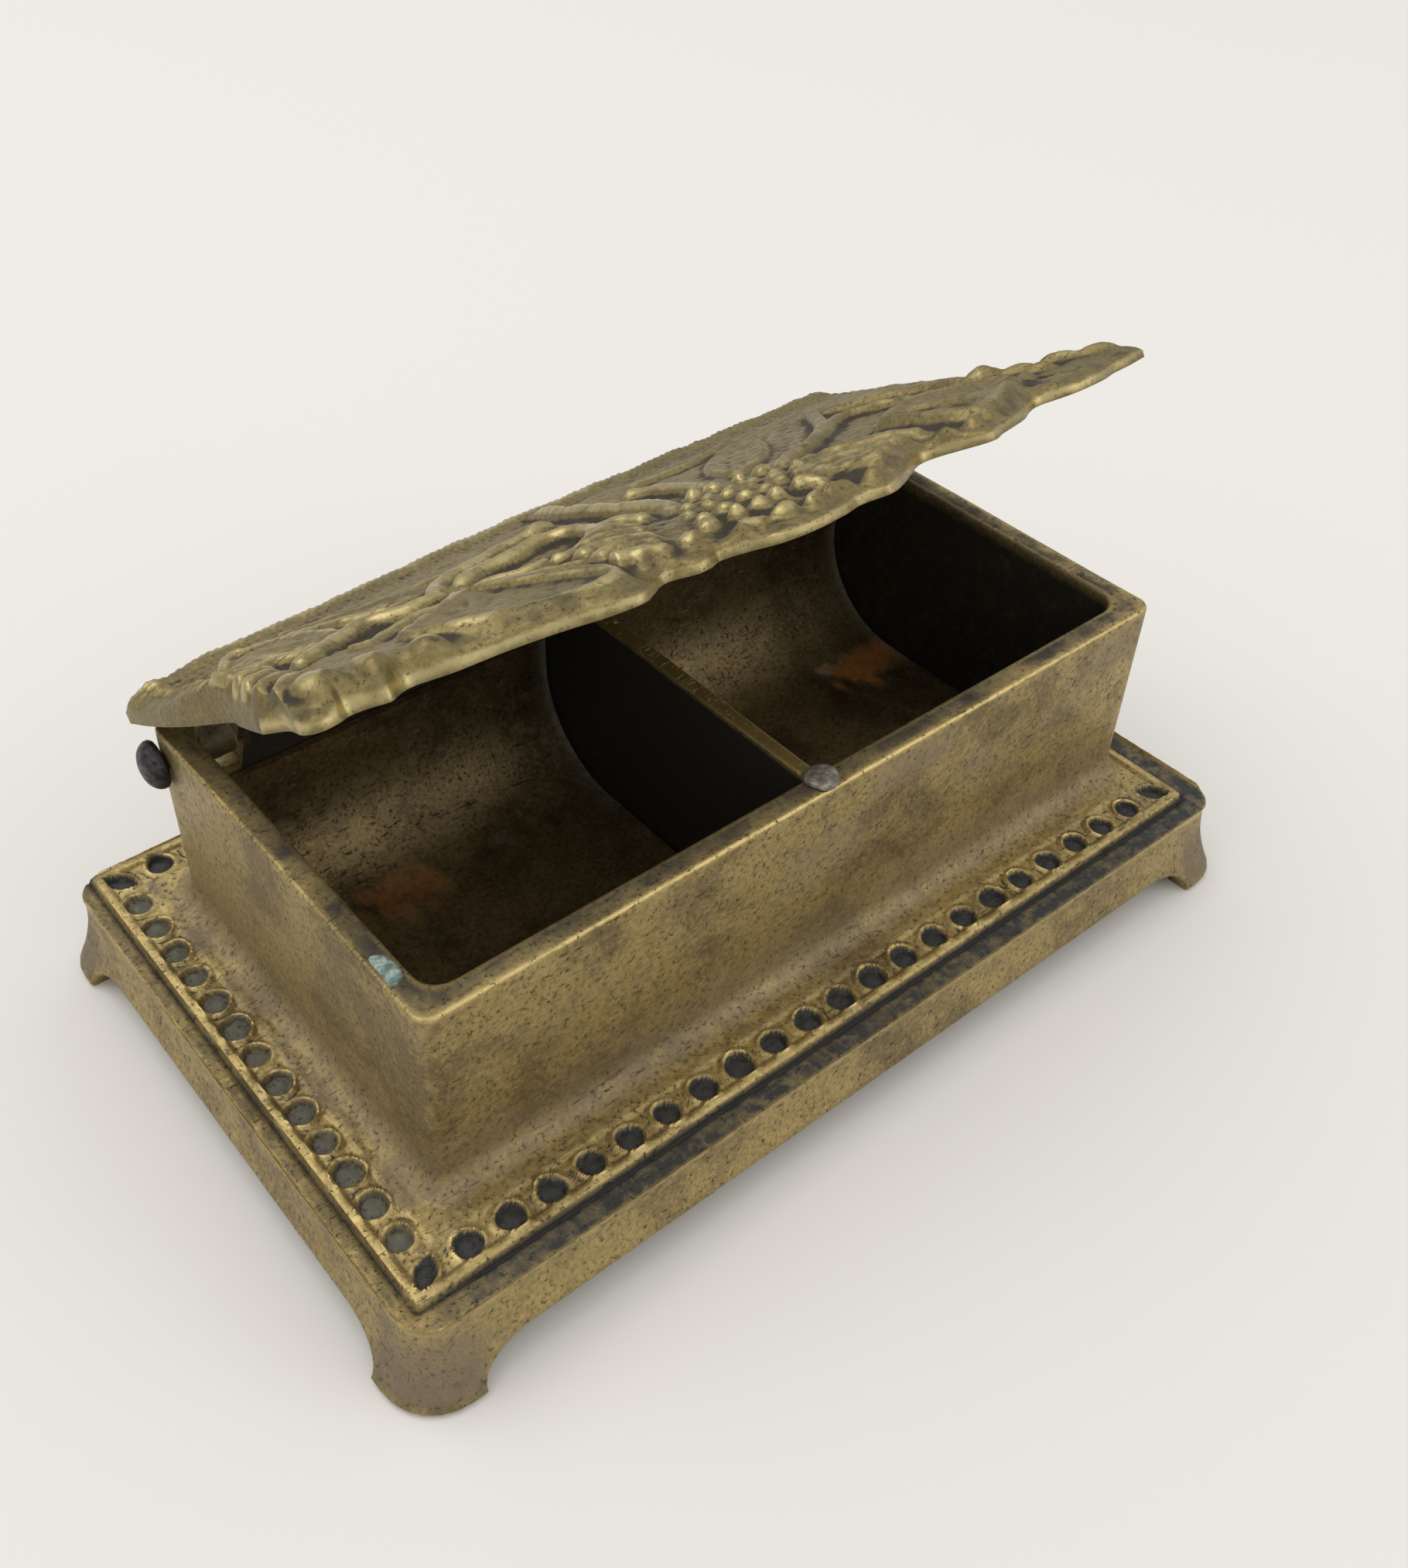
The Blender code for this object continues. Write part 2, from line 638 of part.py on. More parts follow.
def raised_by_forms(u, w):
    """Height of the highest form at each place: stems, round swellings and berries."""
    length, depth = lid_length, lid_depth
    height = np.zeros_like(u)
    for points, half_share, rise_share in stem_shares:
        line = smooth_line(to_lid(points), 6 * len(points))
        gap, share = distance_to_line(u, w, line)
        height = np.maximum(height, mound(gap, half_share * length, rise_share * depth * (1 - share / 4)))
    for (cu, cw), long_share, wide_share, rise_share in lobe_shares:
        gap = np.hypot((u - cu * length) / long_share / length, (w - cw * depth) / wide_share / depth)
        height = np.maximum(height, mound(gap, 1, rise_share * depth))
    for start, row, count in berry_rows_share:
        for k in range(count):
            gap = np.hypot(u - (start + k * berry_pitch_share) * length, w - (row + k * berry_row_slope_share) * depth)
            height = np.maximum(height, mound(gap, berry_radius_share * length, berry_rise_share * depth))
    return height


def lid_relief(u, w):
    """Height of the lid's upper face above its underside at each place."""
    forward = np.clip(w / lid_depth, 0, 1)
    height = lid_ground_front + (lid_back_thickness - lid_ground_front) * (1 - forward ** lid_fall_power)
    height = height + raised_by_forms(u, w)
    height = height + mound(w + lid_back_overhang - lid_roll_width / 2, lid_roll_width / 2, lid_roll_rise)
    edges = ((front_edge_shares, lid_front_round, 0), (left_edge_shares, lid_side_round, lid_side_floor_share),
             (right_edge_shares, lid_side_round, lid_side_floor_share))
    for shares, radius, floor_share in edges:
        gap, along = distance_to_line(u, w, smooth_line(to_lid(shares), 4 * len(shares)))
        floor = lid_edge_thickness + floor_share * (height - lid_edge_thickness)
        height = floor + (height - floor) * np.sqrt(1 - (1 - np.clip(gap / radius, 0, 1)) ** 2)
    return height


def lid_to_world(u, w, z):
    """From the lid's own places, with the lid shut, to the world with the lid turned open."""
    turn = math.radians(lid_open_deg)
    forward = -w
    up = z + lid_underside - hinge_z
    x = box_left + lid_left_inset + u
    y = hinge_y + forward * math.cos(turn) + up * math.sin(turn)
    z = hinge_z - forward * math.sin(turn) + up * math.cos(turn)
    return np.stack([x, y, z], axis=-1)


def lid_shell():
    """Vertices and faces of the lid: a relief grid on top, a flat underside and the edge between them."""
    places = lid_places()
    u, w = places[..., 0], places[..., 1]
    top = lid_to_world(u, w, lid_relief(u, w))
    columns, rows = lid_columns + 1, lid_rows + 1
    index = np.arange(columns * rows).reshape(columns, rows)
    faces = [(index[i, j], index[i + 1, j], index[i + 1, j + 1], index[i, j + 1])
             for i in range(lid_columns) for j in range(lid_rows)]
    edge = list(index[:, 0]) + list(index[-1, 1:]) + list(index[-2::-1, -1]) + list(index[0, -2:0:-1])
    flat = lid_to_world(u, w, np.zeros_like(u)).reshape(-1, 3)
    vertices = list(top.reshape(-1, 3)) + [flat[k] for k in edge]
    base, count = columns * rows, len(edge)
    for k in range(count):
        n = (k + 1) % count
        faces.append((int(edge[k]), base + k, base + n, int(edge[n])))
    faces.append(tuple(range(base, base + count)))
    return vertices, [tuple(int(i) for i in face) for face in faces]


def lug_shape(inner, inward):
    """One lug: round about the pin, and straight up into the lid, shut and then turned open."""
    start = inner + inward * fit_gap
    end = start + inward * lug_thickness
    outline = [(lug_radius, hinge_drop + fit_gap + lid_edge_thickness / 2),
               (-lug_radius, hinge_drop + fit_gap + lid_edge_thickness / 2)]
    half = round_sides // 2
    for k in range(half + 1):
        angle = math.pi + math.pi * k / half
        outline.append((lug_radius * math.cos(angle), lug_radius * math.sin(angle)))

    def place(p, q, x):
        turn = math.radians(lid_open_deg)
        return (x, hinge_y + p * math.cos(turn) + q * math.sin(turn),
                hinge_z - p * math.sin(turn) + q * math.cos(turn))

    return prism(outline, place, start, end)


def make_lid(brass):
    lid = add_object("relief_lid", *lid_shell(), brass)
    for name, outer, inner, inward in end_walls():
        cut(lid, add_cutter(f"lug_{name}", *lug_shape(inner, inward)), "UNION")
        start = inner + inward * (fit_gap - cut_over)
        end = inner + inward * (fit_gap + lug_thickness + cut_over)
        bore = prism(circle(pin_radius + pin_clearance), along_x(hinge_y, hinge_z), start, end)
        cut(lid, add_cutter(f"lug_bore_{name}", *bore))
    return lid


def main():
    clear_scene()
    brass = material("aged_brass", (0.24, 0.19, 0.10), 0.42, 1.0)
    lid_brass = material("rubbed_brass", (0.36, 0.29, 0.15), 0.36, 1.0)
    dark_brass = material("tarnished_sheet", (0.07, 0.05, 0.035), 0.55, 1.0)
    steel = material("dark_steel", (0.045, 0.045, 0.05), 0.45, 1.0)
    verdigris = material("verdigris", (0.42, 0.52, 0.46), 0.85, 0.0)
    solder = material("solder", (0.33, 0.35, 0.35), 0.5, 1.0)
    make_body(brass)
    make_divider(brass)
    make_liners(dark_brass)
    make_lid(lid_brass)
    for name, outer, inner, inward in end_walls():
        make_pin(name, outer, inner, inward, steel)
    make_plugs((verdigris, solder))
    make_lump(solder)


main()
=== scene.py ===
# %% [markdown]
# # A cast brass stamp box
#
# This small desk box is a heavy brass casting: a footed plinth with a border of round cells, and a plain
# box on it, parted for two kinds of stamp. The lid is a second casting, covered in foliage in relief, and
# it stands open on two pins. We dress the plain solids of the frame with finer surfaces, worked out as
# arrays of points, and with a patina that nodes mix from noise and from wear that we measure ourselves.

# %% Load the frame
import json
import math

import bmesh
import bpy
import numpy as np
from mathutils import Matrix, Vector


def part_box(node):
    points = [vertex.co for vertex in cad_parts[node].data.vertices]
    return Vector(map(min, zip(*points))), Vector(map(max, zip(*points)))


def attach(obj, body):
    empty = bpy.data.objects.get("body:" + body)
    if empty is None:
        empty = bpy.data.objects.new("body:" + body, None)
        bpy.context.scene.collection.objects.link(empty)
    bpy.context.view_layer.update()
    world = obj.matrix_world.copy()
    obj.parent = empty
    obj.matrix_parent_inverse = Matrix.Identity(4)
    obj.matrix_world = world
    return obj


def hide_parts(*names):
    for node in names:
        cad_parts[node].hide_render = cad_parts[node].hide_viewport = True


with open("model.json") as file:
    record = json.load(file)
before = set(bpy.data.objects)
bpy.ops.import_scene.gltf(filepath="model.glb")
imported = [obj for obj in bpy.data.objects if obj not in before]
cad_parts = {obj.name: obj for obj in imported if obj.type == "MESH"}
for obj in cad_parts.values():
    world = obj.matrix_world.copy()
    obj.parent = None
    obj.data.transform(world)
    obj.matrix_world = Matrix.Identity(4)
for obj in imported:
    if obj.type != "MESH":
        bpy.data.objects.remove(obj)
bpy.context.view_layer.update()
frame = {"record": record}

# %% [markdown]
# ## Sizes
#
# All lengths below are in millimetres, because the box is only a hand wide. The mesh builder turns them
# into metres. What the frame already knows is read from it, so that the two can't drift apart.

# %% Sizes from the frame
MM = 0.001


def node_box(name):
    """Lowest and highest corner of a frame node, in millimetres."""
    low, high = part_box(name)
    return np.array(low) / MM, np.array(high) / MM


casting_low, casting_high = node_box("box_casting")
left_liner_low, left_liner_high = node_box("left_liner")
right_liner_low, right_liner_high = node_box("right_liner")
divider_low, divider_high = node_box("divider_plate")
hinge = frame["record"]["behaviour"]["joints"][0]["pos_m"]
hinge_y, hinge_z = hinge[1] / MM, hinge[2] / MM

fit_gap = 0.3
wall = 2.4
flare = 1.9
rim_z = casting_high[2]
plinth = (casting_low[0] + flare, casting_high[0] - flare, casting_low[1] + flare, casting_high[1] - flare)
pocket = (left_liner_low[0] - fit_gap, right_liner_high[0] + fit_gap,
          left_liner_low[1] - fit_gap, left_liner_high[1] + fit_gap)
box = (pocket[0] - wall, pocket[1] + wall, pocket[2] - wall, pocket[3] + wall)
plinth_top = 9.4
pocket_floor = left_liner_low[2] - fit_gap
print("plinth", np.round(plinth, 2), "box", np.round(box, 2), "rim", round(rim_z, 2))

# %% [markdown]
# ## Helpers for meshes
#
# Every piece ends in the same way: points and faces go into a mesh, wear and dirt go along as values on
# its points, and the piece is tied to the body that it moves with.

# %% Build a piece from arrays


def face_outward(mesh):
    """Turns the faces of a closed mesh so that their fronts look outwards."""
    work = bmesh.new()
    work.from_mesh(mesh)
    bmesh.ops.recalc_face_normals(work, faces=work.faces)
    work.to_mesh(mesh)
    work.free()


def place_object(name, data):
    """An object that shows a mesh, a lamp or a camera, linked into the scene."""
    made = bpy.data.objects.new(name, data)
    bpy.context.scene.collection.objects.link(made)
    return made


def make_piece(name, points, faces, look, body, node=None, values=None, crease=40):
    """Puts points (in millimetres) and faces into a mesh with its normals outwards, and ties it to its body."""
    mesh = bpy.data.meshes.new(name)
    mesh.from_pydata((np.asarray(points) * MM).tolist(), [], faces)
    for key, numbers in (values or {}).items():
        layer = mesh.attributes.new(key, "FLOAT", "POINT")
        layer.data.foreach_set("value", np.asarray(numbers, dtype=np.float32).ravel())
    face_outward(mesh)
    mesh.materials.append(look)
    mesh.shade_smooth()
    mesh.set_sharp_from_angle(angle=math.radians(crease))
    piece = place_object(name, mesh)
    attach(piece, body)
    if node:
        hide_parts(node)
    print(name, "points", len(mesh.vertices), "faces", len(mesh.polygons))
    return piece


# %% Faces between rows of points


def ring_faces(rows, columns, start=0):
    """Quads between neighbouring closed rows: each point joins the next one round and the row above."""
    i, j = np.meshgrid(np.arange(rows - 1), np.arange(columns), indexing="ij")
    n = (j + 1) % columns
    quads = np.stack([i * columns + j, i * columns + n, (i + 1) * columns + n, (i + 1) * columns + j], axis=-1)
    return (quads.reshape(-1, 4) + start).tolist()


def stitch_faces(coarse_start, coarse_count, fine_start, times):
    """Faces between a closed row and one with several times its points: each takes one edge and its fine edges."""
    i = np.arange(coarse_count)
    n = (i + 1) % coarse_count
    fine = (i[:, None] * times + np.arange(times, -1, -1)[None]) % (coarse_count * times)
    ends = np.stack([coarse_start + i, coarse_start + n], axis=1)
    return np.concatenate([ends, fine_start + fine], axis=1).tolist()


def smoothstep(value, low, high):
    """Rises from 0 at low to 1 at high, level at both ends."""
    t = np.clip((value - low) / (high - low), 0, 1)
    return t * t * (3 - 2 * t)


def bell(value, middle, width):
    """1 at middle and about a third of that a width away: e to the power of minus the squared distance."""
    return np.exp(-((value - middle) / width) ** 2)


# %% [markdown]
# ## The patina
#
# Old brass is never one colour. Rubbed edges are bright and golden, plain faces have a brown skin with
# grey clouds and fine dark pits, and hollows hold black dirt. One node group mixes all of that. It takes
# two numbers that the pieces carry on their points, Worn and Dirt, and adds noise at three sizes.

# %% Node helpers


def add_node(tree, kind, **settings):
    """A node of a kind, with its settings and the values of its inputs, by name or by number."""
    inputs = settings.pop("inputs", {})
    made = tree.nodes.new(kind)
    for key, value in settings.items():
        setattr(made, key, value)
    for key, value in inputs.items():
        if isinstance(value, bpy.types.NodeSocket):
            tree.links.new(value, made.inputs[key])
        else:
            made.inputs[key].default_value = value
    return made


def noise(tree, vector, scale, detail=4.0, roughness=0.6, distortion=0.0):
    """Noise of a scale: its features are about 1 / scale metres across."""
    made = add_node(tree, "ShaderNodeTexNoise", inputs={"Vector": vector, "Scale": scale, "Detail": detail,
                                                        "Roughness": roughness, "Distortion": distortion})
    return made.outputs["Fac"]


def ramp(tree, value, low, high, to_low=0.0, to_high=1.0):
    """Carries low..high to to_low..to_high, smoothly, and stays at the ends outside."""
    made = add_node(tree, "ShaderNodeMapRange", interpolation_type="SMOOTHSTEP",
                    inputs={"Value": value, "From Min": low, "From Max": high, "To Min": to_low, "To Max": to_high})
    return made.outputs["Result"]


def maths(tree, operation, a, b=0.0, clamp=False):
    """One step of arithmetic on two values. With clamp, the result is kept between 0 and 1."""
    made = add_node(tree, "ShaderNodeMath", operation=operation, use_clamp=clamp, inputs={0: a, 1: b})
    return made.outputs[0]


def times(tree, a, b, clamp=False):
    """a times b."""
    return maths(tree, "MULTIPLY", a, b, clamp)


def plus(tree, a, b, clamp=False):
    """a plus b."""
    return maths(tree, "ADD", a, b, clamp)


def minus(tree, a, b, clamp=False):
    """a less b."""
    return maths(tree, "SUBTRACT", a, b, clamp)


def mix(tree, factor, a, b):
    """Colour a where factor is 0, and b where it is 1."""
    made = add_node(tree, "ShaderNodeMix", data_type="RGBA", inputs={0: factor, 6: a, 7: b})
    return made.outputs[2]


# %% What goes into the patina, and its noises


def patina_sockets(tree):
    """Names what the group is given and what it gives back, and returns both ends."""
    for name, kind in (("Vector", "Vector"), ("Worn", "Float"), ("Dirt", "Float"), ("Bright", "Color"),
                       ("Plain", "Color"), ("Brown", "Color"), ("Grey", "Color"), ("Black", "Color"),
                       ("Clouds", "Float"), ("Pits", "Float")):
        tree.interface.new_socket(name, in_out="INPUT", socket_type=f"NodeSocket{kind}")
    for name, kind in (("Color", "Color"), ("Roughness", "Float"), ("Metal", "Float"), ("Height", "Float")):
        tree.interface.new_socket(name, in_out="OUTPUT", socket_type=f"NodeSocket{kind}")
    return tree.nodes.new("NodeGroupInput").outputs, tree.nodes.new("NodeGroupOutput").inputs


def patina_noises(tree, vector):
    """Broad clouds, middle mottling, a fine grain, and long strokes: noise that is stretched one way."""
    stretched = add_node(tree, "ShaderNodeMapping",
                         inputs={"Vector": vector, "Rotation": (0.5, 0.35, 0.6), "Scale": (1.0, 9.0, 3.0)})
    return (noise(tree, vector, 110, 5, 0.62, 0.4), noise(tree, vector, 520, 6, 0.68, 0.3),
            noise(tree, vector, 2300, 4, 0.7), noise(tree, stretched.outputs[0], 420, 3, 0.6, 0.2))


# %% Skin, wear and grime


def patina_skin(tree, given, broad, middle, grain):
    """The skin, laid in four coats: brown clouds, grey mottling, brown speckles and bright grains."""
    clouds = times(tree, ramp(tree, broad, 0.44, 0.66), given["Clouds"])
    color = mix(tree, clouds, given["Plain"], given["Brown"])
    greys = times(tree, ramp(tree, middle, 0.50, 0.68), given["Clouds"])
    color = mix(tree, times(tree, greys, 0.6), color, given["Grey"])
    speckles = times(tree, ramp(tree, grain, 0.48, 0.62, 0.0, 0.60), given["Pits"])
    color = mix(tree, speckles, color, given["Brown"])
    grains = times(tree, ramp(tree, grain, 0.47, 0.38, 0.0, 0.30), given["Pits"])
    return mix(tree, grains, color, given["Bright"])


def patina_wear(tree, given, uneven):
    """Wear: the Worn value made uneven by noise, and none at all where Worn is 0."""
    worn = ramp(tree, plus(tree, given["Worn"], uneven), 0.28, 0.95)
    return times(tree, worn, ramp(tree, given["Worn"], 0.02, 0.2))


def patina_holes(tree, given, broad, grain, strokes):
    """Round pits where the grain is high, and scratches where the strokes are, in patches."""
    pits = times(tree, ramp(tree, grain, 0.615, 0.67), given["Pits"])
    marks = times(tree, ramp(tree, strokes, 0.64, 0.70), given["Pits"])
    return plus(tree, pits, times(tree, marks, ramp(tree, broad, 0.40, 0.60)))


def patina_grime(tree, given, uneven, holes):
    """Grime: the Dirt value made uneven by noise, and most of the pits and scratches."""
    dirt = ramp(tree, plus(tree, given["Dirt"], times(tree, uneven, 0.35)), 0.12, 0.85)
    dirt = times(tree, dirt, ramp(tree, given["Dirt"], 0.0, 0.15))
    return plus(tree, times(tree, holes, 0.7), dirt, clamp=True)


# %% The patina group


def patina_group():
    """Skin, then wear, then grime. Worn places are smoother and more metallic, grimy ones rougher and duller."""
    tree = bpy.data.node_groups.new("patina", "ShaderNodeTree")
    given, result = patina_sockets(tree)
    broad, middle, grain, strokes = patina_noises(tree, given["Vector"])
    uneven = times(tree, minus(tree, middle, 0.5), 1.6)
    worn = patina_wear(tree, given, uneven)
    holes = patina_holes(tree, given, broad, grain, strokes)
    grime = patina_grime(tree, given, uneven, holes)
    color = mix(tree, worn, patina_skin(tree, given, broad, middle, grain), given["Bright"])
    tree.links.new(mix(tree, grime, color, given["Black"]), result["Color"])
    rough = plus(tree, ramp(tree, middle, 0.3, 0.7, 0.40, 0.54), times(tree, grime, 0.25))
    tree.links.new(minus(tree, rough, times(tree, worn, 0.14)), result["Roughness"])
    metal = plus(tree, 0.86, times(tree, worn, 0.12))
    tree.links.new(minus(tree, metal, times(tree, grime, 0.7)), result["Metal"])
    height = plus(tree, times(tree, middle, 0.5), times(tree, grain, 0.35))
    tree.links.new(minus(tree, height, holes), result["Height"])
    return tree


PATINA = patina_group()

# %% A brass with its own values


def new_material(name):
    """A new material, its node tree and its shader."""
    made = bpy.data.materials.new(name)
    made.use_nodes = True
    tree = made.node_tree
    return made, tree, tree.nodes["Principled BSDF"]


def attribute(tree, name):
    """The value that a piece carries on its points under a name."""
    return add_node(tree, "ShaderNodeAttribute", attribute_name=name).outputs["Fac"]


def rgba(red, green, blue):
    """A solid colour."""
    return (red, green, blue, 1.0)


def bumpy(tree, shader, height, distance):
    """Makes a shader uneven: height, from 0 to 1, stands for a distance in metres."""
    relief_node = add_node(tree, "ShaderNodeBump", inputs={"Height": height, "Distance": distance, "Strength": 1.0})
    tree.links.new(relief_node.outputs["Normal"], shader.inputs["Normal"])


def brass(name, bright, plain, brown, grey, black, clouds=1.0, pits=1.0, bump=0.00013, tints=()):
    """A patinated brass. Each tint is an attribute's name and the colour that shows where it is 1."""
    made, tree, shader = new_material(name)
    place = tree.nodes.new("ShaderNodeTexCoord").outputs["Object"]
    group = add_node(tree, "ShaderNodeGroup", node_tree=PATINA, inputs={
        "Vector": place, "Worn": attribute(tree, "worn"), "Dirt": attribute(tree, "dirt"), "Bright": bright,
        "Plain": plain, "Brown": brown, "Grey": grey, "Black": black, "Clouds": clouds, "Pits": pits})
    color, metal, rough = (group.outputs[key] for key in ("Color", "Metal", "Roughness"))
    for key, tint in tints:
        uneven = ramp(tree, noise(tree, place, 900, 4, 0.6), 0.25, 0.75, 0.55, 1.25)
        share = times(tree, attribute(tree, key), uneven, clamp=True)
        color = mix(tree, share, color, tint)
        metal = minus(tree, metal, times(tree, share, 0.8), clamp=True)
        rough = plus(tree, rough, times(tree, share, 0.15), clamp=True)
    for source, target in ((color, "Base Color"), (rough, "Roughness"), (metal, "Metallic")):
        tree.links.new(source, shader.inputs[target])
    bumpy(tree, shader, group.outputs["Height"], bump)
    return made


# %% Three brasses: the casting, the rubbed lid and the tarnished sheet
casting_brass = brass(
    "casting_brass", bright=rgba(0.60, 0.465, 0.205), plain=rgba(0.412, 0.314, 0.130),
    brown=rgba(0.205, 0.155, 0.072), grey=rgba(0.240, 0.192, 0.110), black=rgba(0.022, 0.017, 0.011),
    tints=(("mauve", rgba(0.200, 0.152, 0.094)), ("soot", rgba(0.028, 0.029, 0.028)),
           ("verdigris", rgba(0.105, 0.103, 0.078))))
lid_brass = brass(
    "lid_brass", bright=rgba(0.49, 0.405, 0.195), plain=rgba(0.245, 0.193, 0.080),
    brown=rgba(0.150, 0.118, 0.052), grey=rgba(0.265, 0.222, 0.118), black=rgba(0.040, 0.030, 0.016),
    clouds=0.5, pits=0.55, bump=0.00010)
sheet_brass = brass(
    "sheet_brass", bright=rgba(0.39, 0.30, 0.155), plain=rgba(0.255, 0.188, 0.088),
    brown=rgba(0.12, 0.082, 0.040), grey=rgba(0.27, 0.22, 0.13), black=rgba(0.03, 0.022, 0.014), bump=0.00014,
    tints=(("copper", rgba(0.42, 0.160, 0.035)), ("verdigris", rgba(0.21, 0.26, 0.20))))
print("materials:", casting_brass.name, lid_brass.name, sheet_brass.name)

# %% [markdown]
# ## Columns round the casting
#
# The casting is one surface from the hollow under its plinth to the floor of its pocket. We lay it out
# in closed rows round the box. Each row is a rounded rectangle, and all rows share the same columns, so
# the rows can be joined by plain quads. Where the border of cells needs detail, each column is split.

# %% Columns and rounded rectangles
corner_radius = 3.4
foot_length = 6.6
foot_sweep = 5.4


def side_stops(length, step):
    """Places along a straight side, 0 to 1: even steps, with more where the feet rise from the floor."""
    even = np.linspace(0, 1, int(length / step) + 1)
    start = foot_length - corner_radius - flare
    rise = start + foot_sweep * (1 - np.cos(np.linspace(0, math.pi / 2, 14)))
    close = np.concatenate([rise, [start - 0.02], length - rise, [length - start + 0.02]]) / length
    kept = even[np.abs(even[:, None] - close[None]).min(axis=1) > 0.15 * step / length]
    return np.sort(np.concatenate([kept, close]))


def perimeter(step, corner_steps):
    """Columns all round, from the left end of the front: shares across X and Y, and the direction outwards."""
    long_side = side_stops(plinth[1] - plinth[0] - 2 * corner_radius, step)
    short_side = side_stops(plinth[3] - plinth[2] - 2 * corner_radius, step)
    turn = np.linspace(0, 1, corner_steps + 1)
    parts = []
    for quarter in range(4):
        stops = (long_side, short_side)[quarter % 2]
        straight = stops if quarter < 2 else 1 - stops[::-1]
        along = straight[:-1] if quarter < 2 else 1 - straight[:-1]
        still = np.full(len(along), float(quarter in (1, 2)))
        angle = np.full(len(along), quarter * 90.0 - 90.0)
        parts.append((along, still, angle) if quarter % 2 == 0 else (still, along, angle))
        share_x, share_y = float(quarter in (0, 1)), float(quarter in (1, 2))
        ones = np.ones(corner_steps)
        parts.append((share_x * ones, share_y * ones, quarter * 90.0 - 90.0 + 90.0 * turn[:-1]))
    return [np.concatenate(column) for column in zip(*parts)]


def split_columns(columns, times):
    """The same columns, each split evenly into several."""
    split = []
    for values, lap in zip(columns, (0.0, 0.0, 360.0)):
        closed = np.append(values, values[0] + lap)
        share = np.arange(times)[None] / times
        split.append((closed[:-1, None] * (1 - share) + closed[1:, None] * share).ravel())
    return split


def rounded(rect, radius, columns):
    """A rounded rectangle (left, right, front, back), at every column."""
    share_x, share_y, angle = columns
    left, right, front, back = rect
    turn = np.radians(angle)
    x = left + radius + share_x * (right - left - 2 * radius) + radius * np.cos(turn)
    y = front + radius + share_y * (back - front - 2 * radius) + radius * np.sin(turn)
    return x, y


def grown(rect, out):
    """A rectangle moved outwards by out, one number or one for each side."""
    left, right, front, back = np.broadcast_to(out, 4)
    return rect[0] - left, rect[1] + right, rect[2] - front, rect[3] + back


coarse = perimeter(1.0, 6)
SPLIT = 4
fine = split_columns(coarse, SPLIT)
print("columns:", len(coarse[0]), "split:", len(fine[0]))

# %% [markdown]
# ## Feet and flared sides
#
# The plinth flares to the floor in a quarter wave. Between the feet its lower edge arches up, so the
# edge's height is worked out for each column, and every row of the side starts from it.

# %% The lower edge of the plinth
foot_height = 3.1
edge_z = 9.1
edge_round = 0.3
toe_round = 0.6
apron_wall = 2.4
ceiling_z = 5.5


def lower_edge(columns):
    """Height of the lower edge: 0 at the feet, then a quarter ellipse up to the level arch."""
    x, y = rounded(grown(plinth, flare), corner_radius + flare, columns)
    angle = columns[2] % 90.0
    on_side = angle == 0
    sideways = np.isin(columns[2] % 360, (270, 90))
    from_corner = np.where(sideways, np.minimum(x - plinth[0] + flare, plinth[1] + flare - x),
                           np.minimum(y - plinth[2] + flare, plinth[3] + flare - y))
    share = np.clip((from_corner - foot_length) / foot_sweep, 0, 1)
    return np.where(on_side, foot_height * np.sqrt(1 - (1 - share) ** 2), 0.0)


def side_out(z):
    """How far the flared side stands out from the top edge, at a height."""
    rise = np.clip((z - toe_round) / (edge_z - toe_round), 0, 1)
    return (flare + edge_round) * (1 - rise) ** 2 - edge_round


def side_point(out, columns):
    """A row round the plinth whose distance outwards may differ from column to column."""
    x, y = rounded(plinth, corner_radius, columns)
    turn = np.radians(columns[2])
    return x + out * np.cos(turn), y + out * np.sin(turn)


def hand_made(x, y, z, size=0.05):
    """Small slow unevenness, as a casting filed by hand has: a sum of waves in three directions."""
    wave = np.sin(0.31 * x + 1.3 * np.sin(0.17 * y) + 0.4 * z) + np.sin(0.23 * y - 0.6 * z + 0.9 * np.sin(0.29 * x))
    return size * (wave + 0.6 * np.sin(0.83 * x + 0.57 * y + 1.1 * z)) / 2.6


# %% [markdown]
# ## The border of cells
#
# The flat top of the plinth is a height field. A low, nearly square-cornered lip runs outside the rows of
# cells, then a narrow groove, then a band that lies a little lower. On the left strip groove and band are
# shallower and lighter, and everywhere else they are deeper and black. Every cell is a round recess with
# a thin raised collar, and the corner cells are pointed. What fills them on the real box can't be told,
# so they are dark, and grey-green on the left. Heights depend only on the place, so the grid has no seams.

# %% Where the cells are
left_row_gap, right_row_cover, front_row_gap, back_row_gap = 4.8, 0.2, 5.3, 4.6
rows_rect = (box[0] - left_row_gap, box[1] - right_row_cover, box[2] - front_row_gap, box[3] + back_row_gap)
cells_along_front, cells_along_side = 21, 13


def cell_table():
    """Places of the round cells, with small differences in size, and of the pointed corner cells."""
    dice = np.random.default_rng(7)
    left, right, front, back = rows_rect
    along = left + np.arange(1, cells_along_front + 1) * (right - left) / (cells_along_front + 1)
    up = front + np.arange(1, cells_along_side + 1) * (back - front) / (cells_along_side + 1)
    rounds = [(x, front, "front") for x in along] + [(x, back, "back") for x in along]
    rounds += [(left, y, "left") for y in up]
    corners = [(left, front, 1), (right, back, 1), (left, back, -1), (right, front, -1)]
    sizes = 1 + 0.05 * dice.standard_normal(len(rounds))
    return rounds, corners, sizes, dice.uniform(0, 2 * math.pi, len(rounds))


# %% Distances and smooth chance


